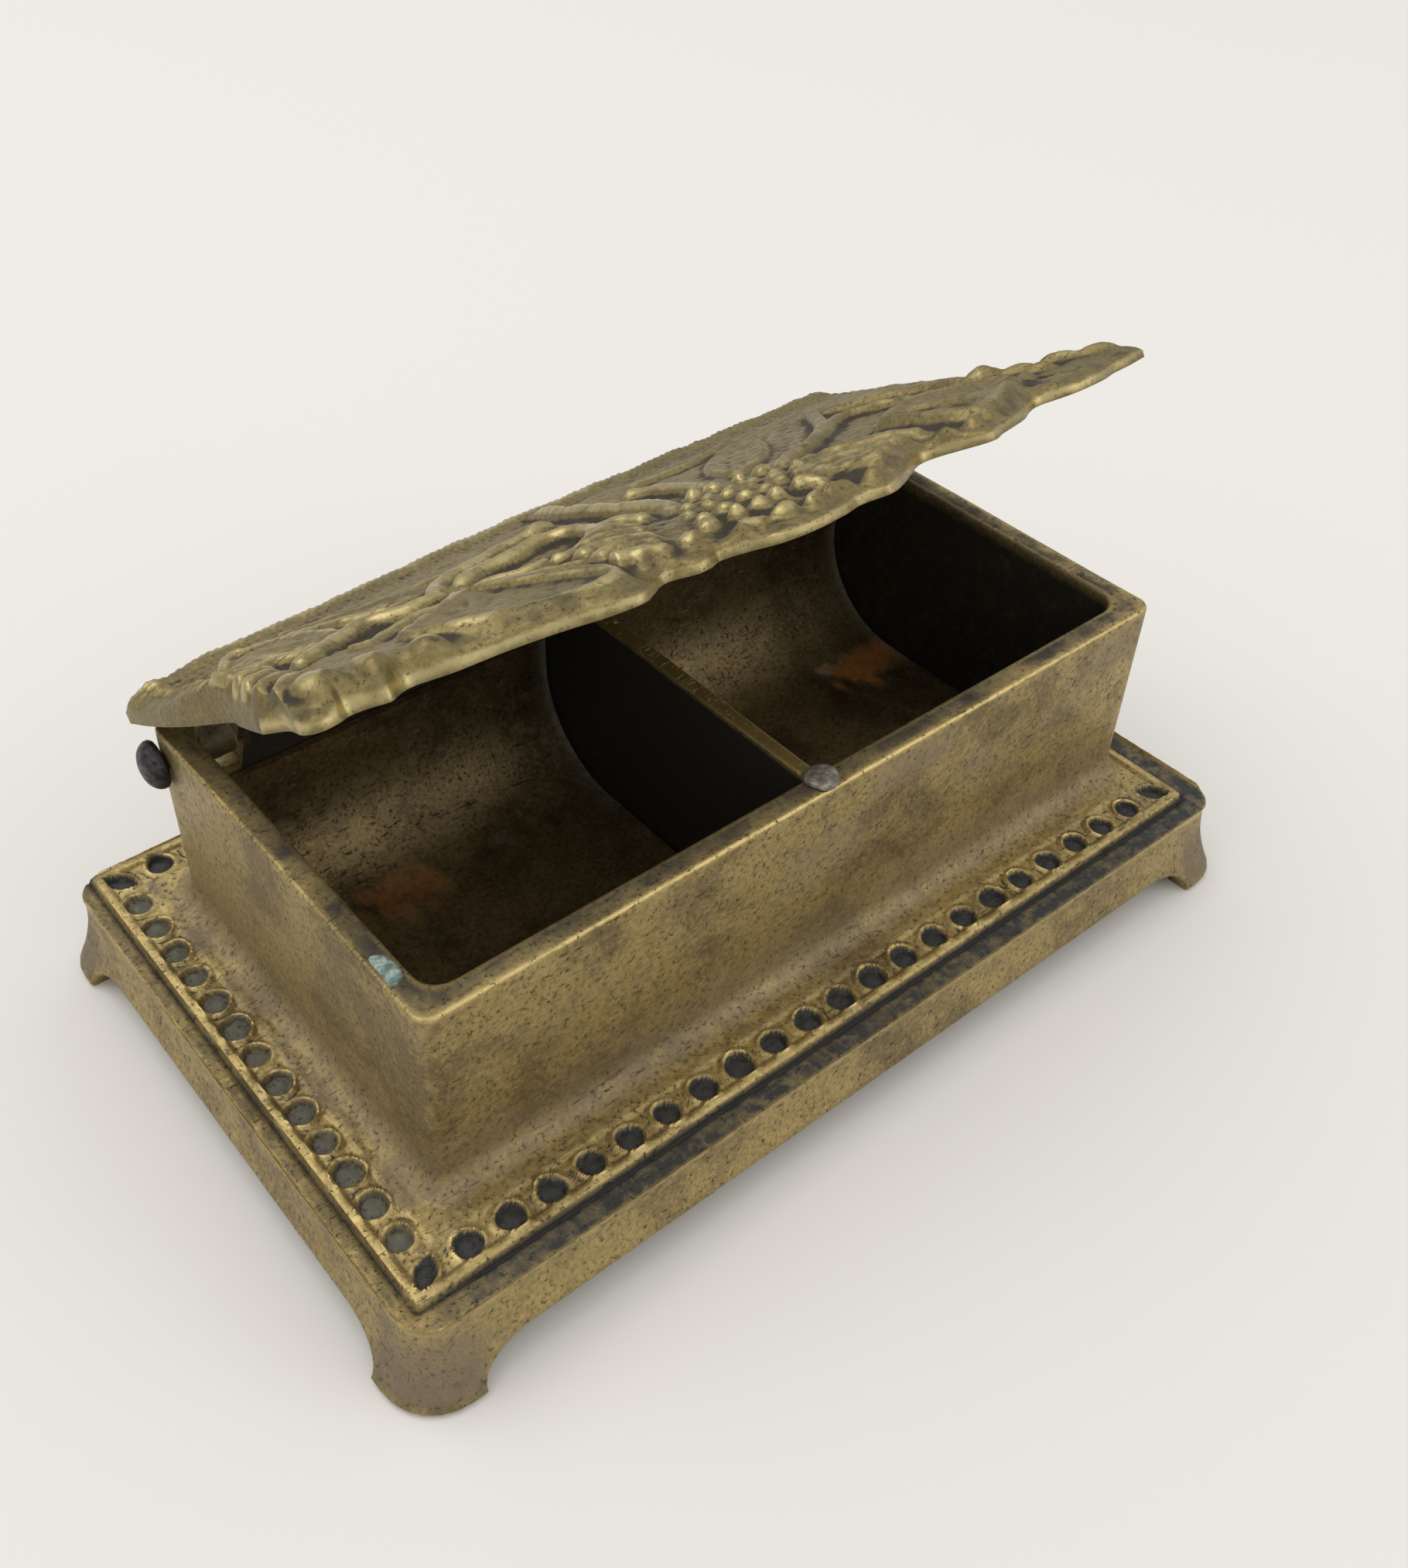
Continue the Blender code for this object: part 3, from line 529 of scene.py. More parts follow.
def rect_distance(x, y, rect):
    """Distance outside a rectangle, rounded at its corners, and below zero inside it."""
    left, right, front, back = rect
    p = np.abs(x - (left + right) / 2) - (right - left) / 2
    q = np.abs(y - (front + back) / 2) - (back - front) / 2
    return np.hypot(np.maximum(p, 0), np.maximum(q, 0)) + np.minimum(np.maximum(p, q), 0)


def square_distance(x, y, rect):
    """Distance outside a rectangle whose corners stay nearly square, and below zero inside it."""
    left, right, front, back = rect
    p = np.abs(x - (left + right) / 2) - (right - left) / 2
    q = np.abs(y - (front + back) / 2) - (back - front) / 2
    return np.log(np.exp(6 * p) + np.exp(6 * q)) / 6


def scatter(x, y, size, seed):
    """Smooth random values, -1 to 1: a net of dice throws, size apart, blended between its knots."""
    net = np.random.default_rng(seed).uniform(-1, 1, (256, 256))
    u, v = x / size + 128.0, y / size + 128.0
    i, j = np.floor(u).astype(int), np.floor(v).astype(int)
    f, g = u - i, v - j
    f, g = f * f * (3 - 2 * f), g * g * (3 - 2 * g)
    i, j, k, m = i % 256, j % 256, (i + 1) % 256, (j + 1) % 256
    return (net[i, j] * (1 - f) + net[k, j] * f) * (1 - g) + (net[i, m] * (1 - f) + net[k, m] * f) * g


# %% One cell, and all of them
cell_radius = 1.18
cell_depth = 0.50
cell_dish = 0.30
collar_out, collar_width, collar_rise = 0.28, 0.20, 0.30
crack_out, crack_width = 0.72, 0.14


def press(maps, near, x, y, reach, radius, side, wave):
    """Presses one cell into the maps, where it is stronger: a dished recess, a collar, a crack and its crust."""
    within = 1 - smoothstep(reach, radius - 0.14, radius + 0.06)
    strength = 0.75 + 0.25 * wave
    grit = 0.09 * scatter(x, y, 0.42, 33)
    crust_mask = 1.6 * (1 - smoothstep(reach, radius - 0.04, radius + 0.10))
    marks = {"recess": (cell_depth + grit) * within - cell_dish * np.clip(1 - (reach / radius) ** 2, 0, 1),
             "collar": collar_rise * strength * bell(reach, radius + collar_out, collar_width),
             "crack": strength * bell(reach, radius + crack_out, crack_width), "soot": crust_mask}
    if side == "left":
        outline = bell(reach, radius - 0.10, 0.16)
        marks["green"] = crust_mask * (0.80 + 0.45 * scatter(x, y, 0.5, 31)) * (1 - outline)
        marks["soot"] = np.maximum(0.45 * crust_mask, 0.95 * outline)
    for key, value in marks.items():
        maps[key][near] = np.maximum(maps[key][near], value)


def cells_at(x, y):
    """Maps of recess, collar, crack, black and grey-green. A pointed cell's reach grows with its width squared."""
    maps = {key: np.zeros_like(x) for key in ("recess", "collar", "crack", "soot", "green")}
    rounds, corners, sizes, phases = cell_table()
    for (cx, cy, side), size, phase in zip(rounds, sizes, phases):
        near = (np.abs(x - cx) < 2.6) & (np.abs(y - cy) < 2.6)
        turn = np.arctan2(y[near] - cy, x[near] - cx)
        reach = np.hypot(x[near] - cx, y[near] - cy) * (1 + 0.03 * np.sin(3 * turn + phase))
        press(maps, near, x[near], y[near], reach, cell_radius * size, side, np.sin(turn + phase))
    for cx, cy, lean in corners:
        near = (np.abs(x - cx) < 3.0) & (np.abs(y - cy) < 3.0)
        dx, dy = x[near] - cx, y[near] - cy
        along, across = (dx + lean * dy) / math.sqrt(2), (dx - lean * dy) / math.sqrt(2)
        reach = np.abs(across) * 1.25 + 0.42 * along ** 2 + 0.12
        press(maps, near, x[near], y[near], reach, cell_radius, "corner", np.sin(np.arctan2(across, along)))
    return maps


# %% Zones and heights of the plinth's top
lip_middle, lip_half, lip_rise = 1.72, 0.52, 0.16
groove_middle, groove_width = 2.42, 0.25
groove_depth, band_drop = 0.26, 0.28
front_groove_extra, front_band_extra = 0.14, 0.22
row_drop, edge_ease = 0.16, 0.25


def top_zones(x, y):
    """Masks by distance outwards from the rows of cells, and inwards from the plinth's edge.

    The mask called front is 0 on the left strip and 1 everywhere else."""
    out, inward = square_distance(x, y, rows_rect), -rect_distance(x, y, plinth)
    return {"out": out, "inward": inward, "front": smoothstep(x, box[0] - 6, box[0]),
            "lip": np.clip(1 - ((out - lip_middle) / lip_half) ** 4, 0, 1) ** 0.5,
            "band": smoothstep(out, 2.05, 2.35) * smoothstep(inward, 0.10, 0.40),
            "groove": bell(out, groove_middle, groove_width) * (inward > 0.5),
            "rows": smoothstep(-out, -1.4, -1.1) * (1 - smoothstep(-out, 1.5, 1.9)),
            "arris": bell(inward, 0.22, 0.20)}


def top_height(x, y, zone, cell):
    """Height: lip up, groove, band and rows down, cells pressed in, the outer edge eased, and a little chance."""
    front = zone["front"]
    z = plinth_top + lip_rise * zone["lip"] - (band_drop + front_band_extra * front) * zone["band"]
    z = z - (groove_depth + front_groove_extra * front) * zone["groove"] - row_drop * zone["rows"]
    z = z - cell["recess"] * (1 - smoothstep(zone["out"], 0.95, 1.25)) + cell["collar"]
    z = z - edge_ease * (1 - smoothstep(zone["inward"], 0.0, 0.5))
    return z + (1 - 0.75 * zone["lip"]) * (0.04 * scatter(x, y, 1.1, 3) + 0.03 * scatter(x, y, 0.5, 4))


# %% Wear, dirt and tints of the plinth's top


def top_marks(x, y, zone, cell):
    """Wear on lip, collars and outer edge, dirt in groove and cracks, black in the cells and the front band."""
    band = zone["band"] * (1 - zone["arris"])
    cracks = zone["rows"] * np.clip(cell["crack"], 0, 1) * smoothstep(scatter(x, y, 0.7, 5), -0.5, 0.4)
    worn = np.maximum.reduce([0.50 * zone["lip"], 0.9 * np.clip(cell["collar"] / collar_rise, 0, 1),
                              0.95 * zone["arris"], 0.34 * zone["rows"], np.full_like(x, 0.10)])
    worn = worn * (1 - 0.9 * band) * (1 - np.clip(cell["soot"] + cell["green"], 0, 1))
    at_wall = 0.10 * bell(np.clip(rect_distance(x, y, box) - 1.6, 0, 9), 0, 0.7)
    dirt = np.maximum.reduce([0.36 * band, (0.75 + 0.35 * zone["front"]) * zone["groove"], 0.95 * cracks, at_wall,
                              0.45 * bell(zone["out"], 1.05, 0.16)])
    flat = smoothstep(-zone["out"], 1.2, 2.0) * smoothstep(scatter(x, y, 3.1, 6), -0.7, 0.6)
    black_band = (0.22 + 0.73 * zone["front"] + 0.28 * scatter(x, y, 1.4, 7)) * band
    return {"worn": worn, "dirt": dirt, "mauve": np.where(y < box[2], 0.16, 0.8) * flat,
            "soot": np.maximum(cell["soot"], black_band), "verdigris": cell["green"]}


# %% [markdown]
# ## The casting in one surface
#
# Row by row: the ceiling under the plinth, the apron, the flared side, the finely split border, then the
# cove at the foot of the box, its wall, the rim and the pocket. Two notches for the lugs of the lid and
# two holes for the pins are cut out at the end.

# %% Rows of the plinth
foot_fillet = np.array([2.1, 0.8, 2.1, 2.1])
fillet_rise = foot_fillet.max()
box_corner_radius = 1.5
pocket_corner_radius = 0.8
rim_corner_radius = 2.2
rim_round = 0.4
rim_dip = 0.05
border_row_count = 40
inner_ledge_z = 4.2


def row(x, y, z, worn=0.1, dirt=0.0, mauve=0.0):
    """One closed row: a line for each point, with its place and its wear, dirt and mauve."""
    return np.column_stack(np.broadcast_arrays(x, y, z, worn, dirt, mauve))


def plinth_rows():
    """Rows from the hollow underneath, round the toe, and up the flared side. Its feet are duller."""
    low = lower_edge(coarse)
    at_foot = 1 - low / foot_height
    rows = [row(*side_point(-apron_wall, coarse), z, 0.0, 0.9) for z in (ceiling_z, inner_ledge_z)]
    rows.append(row(*side_point(flare * at_foot - apron_wall, coarse), low, 0.2, 0.7))
    for turn in np.linspace(0, math.pi / 2, 4):
        out = side_out(low + toe_round) - toe_round * (1 - math.sin(turn))
        rows.append(row(*side_point(out, coarse), low + toe_round * (1 - math.cos(turn)), 0.35, 0.25))
    for share in np.linspace(0, 1, 9)[1:]:
        z = low + toe_round + (edge_z - 0.2 - low - toe_round) * share
        x, y = side_point(side_out(z), coarse)
        rows.append(row(x, y, z + 0.2 * hand_made(x, y, z, 0.05), 0.12 + 0.75 * share ** 10,
                        0.55 * at_foot * (1 - share ** 2), 0.90 * at_foot * (1 - share ** 3)))
    return rows


def border_surface():
    """Points and marks of the plinth's top: straight runs from its edge in to the foot of the box."""
    outer = side_point(-0.5 * edge_round, fine)
    inner = rounded(grown(box, foot_fillet), box_corner_radius + fillet_rise, fine)
    share = np.linspace(0, 1, border_row_count)[:, None]
    x, y = (start * (1 - share) + end * share for start, end in zip(outer, inner))
    zone, cell = top_zones(x, y), cells_at(x, y)
    z = top_height(x, y, zone, cell)
    z[-1] = plinth_top
    marks = {key: value.ravel() for key, value in top_marks(x, y, zone, cell).items()}
    return np.stack([x, y, z], axis=-1).reshape(-1, 3), marks


# %% Rows of the box


def wall_marks(x, y, z, share):
    """Wear, dirt and mauve patina on the outer wall: bright corners, a smear by one, and patches under the rim.
    Painted shade makes the left wall greyer and darker.
    """
    corner = 0.40 * np.sin(np.radians(2 * (coarse[2] % 90))) * (0.7 + 0.5 * scatter(x, z, 2.2, 15))
    smear = bell(x, box[0] + 3.2, 0.7) * (y < box[2] + 1) * smoothstep(share, 0.15, 0.75)
    patches = smoothstep(scatter(x + y, z, 5.5, 9), 0.05, 0.6) * smoothstep(share, 0.25, 0.8)
    foot = 0.55 * (1 - smoothstep(share, 0.0, 0.30))
    on_left = x < box[0] + 0.5
    # The extra 0.24 of mauve on the left wall is painted shade.
    return 0.12 + corner, 0.28 * smear, np.maximum(0.6 * patches * (x > -10) + 0.24 * on_left, foot)


def wall_rows():
    """Rows from the cove at the foot of the box up its wall."""
    rows = []
    for turn in np.linspace(0, math.pi / 2, 7)[1:]:
        out = foot_fillet * (1 - math.sin(turn))
        x, y = rounded(grown(box, out), box_corner_radius + out.max(), coarse)
        rows.append(row(x, y, plinth_top + fillet_rise * (1 - math.cos(turn)), 0.08, 0.16, 0.55))
    wall_foot = plinth_top + fillet_rise
    x, y = rounded(box, box_corner_radius, coarse)
    for share in np.linspace(0.05, 0.97, 14):
        z = wall_foot + (rim_z - rim_round - wall_foot) * share
        rows.append(row(x, y, z, *wall_marks(x, y, z, share)))
    return rows


def rim_rows():
    """Rows over the rim: a quarter round, the flat, another quarter round. The left edge is rubbed less."""
    rows = []
    on_left = np.abs(coarse[2] % 360 - 180) < 1
    for turn, worn in zip(np.linspace(0, math.pi / 2, 5), (0.40, 0.70, 0.80, 0.55, 0.25)):
        out = -rim_round * (1 - math.cos(turn))
        x, y = rounded(grown(box, out), box_corner_radius + out, coarse)
        z = rim_z - rim_round * (1 - math.sin(turn))
        z = z + (hand_made(x, y, z, 0.05) - rim_dip) * math.sin(turn)
        rows.append(row(x, y, z, worn * (1 - 0.6 * on_left)))
    for share, dirt in ((0.2, 0.40), (0.5, 0.50), (0.8, 0.60)):
        radius = box_corner_radius + (rim_corner_radius - box_corner_radius) * share
        x, y = rounded(grown(box, -rim_round - share * (wall - 2 * rim_round)), radius, coarse)
        z = rim_z - rim_dip + hand_made(x, y, rim_z, 0.06)
        rows.append(row(x, y, z, 0.10, dirt + 0.3 * scatter(x, y, 1.6, 8), 0.15))
    for turn in np.linspace(math.pi / 2, 0, 4):
        out = rim_round * (1 - math.cos(turn))
        x, y = rounded(grown(box, out - wall), rim_corner_radius + out, coarse)
        rows.append(row(x, y, rim_z - rim_dip - rim_round * (1 - math.sin(turn)), 0.40, 0.40))
    return rows


def pocket_rows():
    """Rows down the pocket, whose corners are rounder at the rim than below."""
    rows = []
    for depth in (1.5, 4.0, 6.0, 8.0, 12.0, rim_z - pocket_floor):
        radius = rim_corner_radius + (pocket_corner_radius - rim_corner_radius) * smoothstep(depth, 1.5, 8.0)
        rows.append(row(*rounded(pocket, radius, coarse), rim_z - depth, 0.0, 0.80))
    return rows


# %% Join the rows


def casting_surface():
    """All points, faces and point values of the casting, row by row, with a cap at either end."""
    below, above = plinth_rows(), wall_rows() + rim_rows() + pocket_rows()
    border, values = border_surface()
    count, dense = len(coarse[0]), len(fine[0])
    lower, upper = np.concatenate(below), np.concatenate(above)
    points = np.concatenate([lower[:, :3], border, upper[:, :3]])
    border_start, upper_start = len(lower), len(lower) + len(border)
    faces = ring_faces(len(below), count) + [list(range(count))]
    faces += stitch_faces(border_start - count, count, border_start, SPLIT)
    faces += ring_faces(border_row_count, dense, border_start)
    faces += stitch_faces(upper_start, count, upper_start - dense, SPLIT)
    faces += ring_faces(len(above), count, upper_start)
    faces += [list(range(len(points) - count, len(points)))]
    for column, key in enumerate(("worn", "dirt", "mauve"), start=3):
        values[key] = np.concatenate([lower[:, column], values[key], upper[:, column]])
    for key in ("soot", "verdigris"):
        values[key] = np.concatenate([np.zeros(len(lower)), values[key], np.zeros(len(upper))])
    return points, faces, values


# %% Cut the notches and the pin holes
lug_thickness = 3.6
lug_radius = 1.7
notch_margin = 0.4
notch_drop = 1.0
pin_radius = 0.9
pin_clearance = 0.05


def block(left, right, front, back, low, high):
    """Points and faces of a plain block, for cutting."""
    corners = [(left, front), (right, front), (right, back), (left, back)]
    points = [(x, y, z) for z in (low, high) for x, y in corners]
    faces = [(3, 2, 1, 0), (4, 5, 6, 7)] + [(k, (k + 1) % 4, 4 + (k + 1) % 4, 4 + k) for k in range(4)]
    return points, faces


def rod(start, end, radius, sides=32):
    """Points and faces of a rod along X about the hinge line."""
    turn = np.linspace(0, 2 * math.pi, sides, endpoint=False)
    ring = [(hinge_y + radius * math.cos(a), hinge_z + radius * math.sin(a)) for a in turn]
    points = [(x, y, z) for x in (start, end) for y, z in ring]
    faces = ring_faces(2, sides) + [list(range(sides - 1, -1, -1)), list(range(sides, 2 * sides))]
    return points, faces


def carve(piece, shapes):
    """Cuts shapes out of a piece, with an exact Boolean that is then applied to the mesh."""
    points, faces = [], []
    for shape_points, shape_faces in shapes:
        base = len(points)
        points += [tuple(np.array(p) * MM) for p in shape_points]
        faces += [[base + index for index in face] for face in shape_faces]
    mesh = bpy.data.meshes.new("cutter")
    mesh.from_pydata(points, [], faces)
    face_outward(mesh)
    cutter = place_object("cutter", mesh)
    step = piece.modifiers.new("cut", "BOOLEAN")
    step.object = cutter
    step.solver = "EXACT"
    step.operation = "DIFFERENCE"
    bpy.context.view_layer.update()
    cut_mesh = bpy.data.meshes.new_from_object(piece.evaluated_get(bpy.context.evaluated_depsgraph_get()))
    piece.modifiers.clear()
    piece.data = cut_mesh
    bpy.data.objects.remove(cutter)


# %% Make the casting
casting_points, casting_faces, casting_values = casting_surface()
casting = make_piece("cast_box_and_plinth", casting_points, casting_faces, casting_brass, "box",
                     "box_casting", casting_values, crease=50)
notch_low = hinge_z - lug_radius - notch_drop
notch_front = hinge_y - 1.4
notch_reach = lug_thickness + fit_gap + notch_margin
overrun = 1
carve(casting, [
    block(pocket[0], pocket[0] + notch_reach, notch_front, box[3] + overrun, notch_low, rim_z + overrun),
    block(pocket[1] - notch_reach, pocket[1], notch_front, box[3] + overrun, notch_low, rim_z + overrun),
    rod(box[0] - overrun, pocket[0] + overrun, pin_radius + pin_clearance),
    rod(pocket[1] - overrun, box[1] + overrun, pin_radius + pin_clearance),
])
print("casting after cutting:", len(casting.data.vertices), "points")

# %% [markdown]
# ## Divider and liners
#
# A thin plate parts the box. In each compartment a bent sheet lines the floor and coves up the back, so
# that a stamp can be slid up to the finger. We bend the sheet as a profile: flat, quarter round, upstand.

# %% The divider


def extruded(profile, start, end, steps=1):
    """A closed profile (y, z) carried along X, with end caps."""
    profile = np.asarray(profile)
    count = len(profile)
    stops = np.linspace(start, end, steps + 1)
    points = np.concatenate([np.column_stack([np.full(count, x), profile]) for x in stops])
    faces = ring_faces(steps + 1, count)
    faces += [list(range(count)), list(range(len(points) - count, len(points)))]
    return points, faces


def plate_profile(left, right, low, high, radius, steps=4):
    """A plate's section across its thickness, with its top edges rounded."""
    turn = np.linspace(0, math.pi / 2, steps + 1)
    right_top = np.column_stack([right - radius + radius * np.cos(turn), high - radius + radius * np.sin(turn)])
    left_top = np.column_stack([left + radius - radius * np.sin(turn), high - radius + radius * np.cos(turn)])
    shoulder = high - 2 * radius
    return np.concatenate([[[left, low], [right, low], [right, shoulder]], right_top, left_top, [[left, shoulder]]])


plate_edge_radius = 0.4
plate = plate_profile(divider_low[0], divider_high[0], divider_low[2], divider_high[2], plate_edge_radius)
plate_points, plate_faces = extruded(plate, divider_low[1], divider_high[1], 24)
plate_points = plate_points[:, [1, 0, 2]]
height_share = (plate_points[:, 2] - divider_low[2]) / (divider_high[2] - divider_low[2])
make_piece("divider", plate_points, plate_faces, casting_brass, "box", "divider_plate",
           {"worn": 0.9 * smoothstep(height_share, 0.97, 1.0), "dirt": 1 - smoothstep(height_share, 0.96, 0.985)})


# %% The coved liners
liner_thickness = 0.8
cove_radius = 11.2


def liner_profile(low_corner, high_corner, steps=28):
    """The bent sheet's outline: floor, quarter round and upstand, outside first and inside back."""
    front, back, bottom, top = low_corner[1], high_corner[1], low_corner[2], high_corner[2]
    turn = np.linspace(0, math.pi / 2, steps)
    centre_y, centre_z = back - cove_radius, bottom + cove_radius
    inside = cove_radius - liner_thickness
    floor_y = np.linspace(front, centre_y, 16)[:-1]
    outer = np.column_stack([centre_y + cove_radius * np.sin(turn), centre_z - cove_radius * np.cos(turn)])
    inner = np.column_stack([centre_y + inside * np.sin(turn), centre_z - inside * np.cos(turn)])
    outer = np.concatenate([[[front, bottom]], outer, [[back, top]]])
    inner = np.concatenate([np.column_stack([floor_y, np.full(15, bottom + liner_thickness)]), inner,
                            [[back - liner_thickness, top]]])
    return np.concatenate([outer, inner[::-1]])


def liner(name, node, low_corner, high_corner, stain, redness):
    """One liner. Its stain is a patch of bare copper on the floor, and a pale seam runs up its right end."""
    points, faces = extruded(liner_profile(low_corner, high_corner), low_corner[0], high_corner[0], 150)
    x, y, z = points.T
    patch_x, patch_y, patch_wide, patch_deep = stain
    reach = np.hypot((x - patch_x) / patch_wide, (y - patch_y) / patch_deep) + 0.35 * scatter(x, y, 1.3, 14)
    seam = bell(x, high_corner[0], 0.8) * smoothstep(y, high_corner[1] - cove_radius - 9, high_corner[1])
    near_end = bell(x, high_corner[0] - 1.2, 0.9) + bell(x, low_corner[0], 1.2)
    spots = smoothstep(scatter(x, y, 2.6, 12), 0.55, 0.9) * smoothstep(scatter(x, y, 6.5, 13), 0.0, 0.6)
    values = {"worn": 0.05 + 0.25 * smoothstep(z, low_corner[2] + 4, high_corner[2]),
              "dirt": 0.06 + 0.30 * near_end, "copper": redness * (1 - smoothstep(reach, 0.6, 1.0)),
              "verdigris": np.maximum(0.7 * seam, 0.45 * spots)}
    return make_piece(name, points, faces, sheet_brass, "box", node, values)


liner("coved_liner_left", "left_liner", left_liner_low, left_liner_high, (-24, 10, 4.5, 4), 0.5)
liner("coved_liner_right", "right_liner", right_liner_low, right_liner_high, (36.5, 8.5, 6, 3.5), 0.9)

# %% [markdown]
# ## The lid's outline
#
# The lid was cast from a carved pattern, so its edge follows the leaves. We set its four edges out as
# smooth curves and fill the sheet between them with a Coons patch, which blends opposite edges.

# %% Edges of the lid
lid_left = box[0] + 0.3
lid_length = 89.3
lid_depth = 45.9
lid_underside = 3.8
open_angle = math.radians(31)
# Shares of the lid's length and depth that its edge passes through.
front_edge_shares = (
    (0.000, 0.634), (0.010, 0.700), (0.006, 0.776), (0.015, 0.812), (0.033, 0.806), (0.045, 0.789),
    (0.061, 0.800), (0.075, 0.823), (0.092, 0.794), (0.108, 0.788), (0.135, 0.821), (0.172, 0.839),
    (0.204, 0.865), (0.228, 0.895), (0.252, 0.934), (0.282, 0.952), (0.303, 0.924), (0.322, 0.889),
    (0.336, 0.884), (0.350, 0.922), (0.366, 0.922), (0.384, 0.903), (0.402, 0.929), (0.422, 0.982),
    (0.453, 1.000), (0.491, 0.990), (0.518, 0.972), (0.546, 0.992), (0.573, 0.966), (0.607, 0.918),
    (0.642, 0.871), (0.664, 0.880), (0.696, 0.951), (0.726, 0.930), (0.772, 0.898), (0.806, 0.854),
    (0.831, 0.837), (0.863, 0.870), (0.905, 0.872), (0.935, 0.853), (0.966, 0.846), (1.000, 0.830),
)
right_edge_shares = (
    (0.938, -0.056), (0.946, 0.060), (0.944, 0.240), (0.940, 0.420), (0.925, 0.530), (0.902, 0.600),
    (0.920, 0.660), (0.955, 0.720), (0.985, 0.780), (1.000, 0.830),
)
left_edge_shares = (
    (-0.011, -0.056), (-0.011, 0.100), (-0.003, 0.260), (0.013, 0.405), (0.009, 0.470), (0.004, 0.550),
    (0.000, 0.634),
)


def smooth_line(points, count):
    """A Catmull-Rom curve through points: each span bends so that neighbouring spans meet without a kink."""
    fixed = np.array(points, dtype=float)
    fixed = np.vstack([2 * fixed[0] - fixed[1], fixed, 2 * fixed[-1] - fixed[-2]])
    spans = len(points) - 1
    t = np.linspace(0, spans, count)
    k = np.minimum(t.astype(int), spans - 1)
    f = (t - k)[:, None]
    a, b, c, d = fixed[k], fixed[k + 1], fixed[k + 2], fixed[k + 3]
    return 0.5 * (2 * b + (c - a) * f + (2 * a - 5 * b + 4 * c - d) * f ** 2 + (3 * b - a - 3 * c + d) * f ** 3)


def even_line(points, count):
    """The same curve with its places evenly spaced."""
    dense = smooth_line(points, 40 * len(points))
    length = np.concatenate([[0], np.cumsum(np.hypot(*np.diff(dense, axis=0).T))])
    want = np.linspace(0, length[-1], count)
    return np.column_stack([np.interp(want, length, dense[:, k]) for k in (0, 1)])


def edge(shares, count):
    """An edge of the lid: its shares turned into millimetres, as a smooth line of evenly spaced places."""
    return even_line([(lid_left + along * lid_length, forward * lid_depth) for along, forward in shares], count)


def lid_grid(columns, rows):
    """Places (x, forward) inside the outline: opposite edges are blended, less the blend of the corners."""
    front, left, right = edge(front_edge_shares, columns), edge(left_edge_shares, rows), edge(right_edge_shares, rows)
    a = np.linspace(0, 1, columns)[:, None, None]
    b = np.linspace(0, 1, rows)[None, :, None]
    back = left[0] * (1 - a[:, 0]) + right[0] * a[:, 0]
    ruled = (1 - b) * back[:, None] + b * front[:, None] + (1 - a) * left[None] + a * right[None]
    corners = (1 - a) * (1 - b) * back[0] + a * (1 - b) * back[-1] + (1 - a) * b * front[0] + a * b * front[-1]
    return np.moveaxis(ruled - corners, -1, 0)


lid_x, lid_w = lid_grid(440, 200)
print("lid grid:", lid_x.shape)

# %% [markdown]
# ## Carving the relief
#
# The foliage is a height field too, built up like a carver builds it: first the ground, which swells
# towards the hinge, then stems as round ridges, leaves with a turned-up rim and veins, round lobes and
# a cluster of berries. Each form is worked out only near its own place, and the highest form wins.

# %% Forms for the carver
relief = np.zeros_like(lid_x)


def near_path(path, reach, count=None):
    """Points of the lid within reach of a smooth path: which ones, how far, which side, and how far along."""
    line = smooth_line(path, count or 8 * len(path))
    low, high = line.min(axis=0) - reach, line.max(axis=0) + reach
    near = np.nonzero((lid_x > low[0]) & (lid_x < high[0]) & (lid_w > low[1]) & (lid_w < high[1]))
    x, w = lid_x[near], lid_w[near]
    best = np.full(x.shape, np.inf)
    along, side = np.zeros(x.shape), np.ones(x.shape)
    for k in range(len(line) - 1):
        (ax, aw), (bx, bw) = line[k], line[k + 1]
        dx, dw = bx - ax, bw - aw
        t = np.clip(((x - ax) * dx + (w - aw) * dw) / max(dx * dx + dw * dw, 1e-9), 0, 1)
        gap = np.hypot(x - ax - t * dx, w - aw - t * dw)
        nearer = gap < best
        best = np.where(nearer, gap, best)
        along = np.where(nearer, (k + t) / (len(line) - 1), along)
        side = np.where(nearer, np.sign((x - ax) * dw - (w - aw) * dx), side)
    return near, best, side, along


def lay(near, height):
    """Lays a form on the relief: the higher of the two stays."""
    relief[near] = np.maximum(relief[near], height)


def stem(path, width, rise, taper=0.4, lines=0):
    """A round ridge along a path, thinner at its end, with fine lines along it if asked."""
    near, gap, side, along = near_path(path, width)
    half = width * (1 - (1 - taper) * along)
    share = np.clip(gap / half, 0, 1)
    body = np.sqrt(1 - share ** 2) * (1 - (1 - taper) * along * 0.6)
    if lines:
        body = body + 0.07 * np.cos(side * share * math.pi * lines) * (share < 1)
    ends = smoothstep(along, 0, 0.06) * (1 - smoothstep(along, 0.96, 1.0))
    lay(near, rise * body * (0.35 + 0.65 * ends) * (share < 1))


def leaf(path, width, rise, veins=7, dish=0.6, rim=0.85, blunt=0.6, midrib=0.3):
    """A leaf along its midrib: dished, with a turned-up rim, a midrib and slanting veins."""
    near, gap, _, along = near_path(path, width)
    half = width * np.sin(math.pi * np.clip(0.06 + 0.94 * along, 0, 1)) ** blunt + 0.15
    share = gap / half
    edge_fall = 1 - smoothstep(share, 0.93, 1.06)
    bowl = (1 - dish) + dish * smoothstep(share, 0.15, rim)
    rib = midrib * bell(gap, 0, 0.34)
    vein = 0.10 * np.cos(2 * math.pi * (veins * along - 1.6 * share)) * (share < 0.85)
    lay(near, rise * (bowl + rib + vein) * edge_fall * (1 - 0.25 * along))


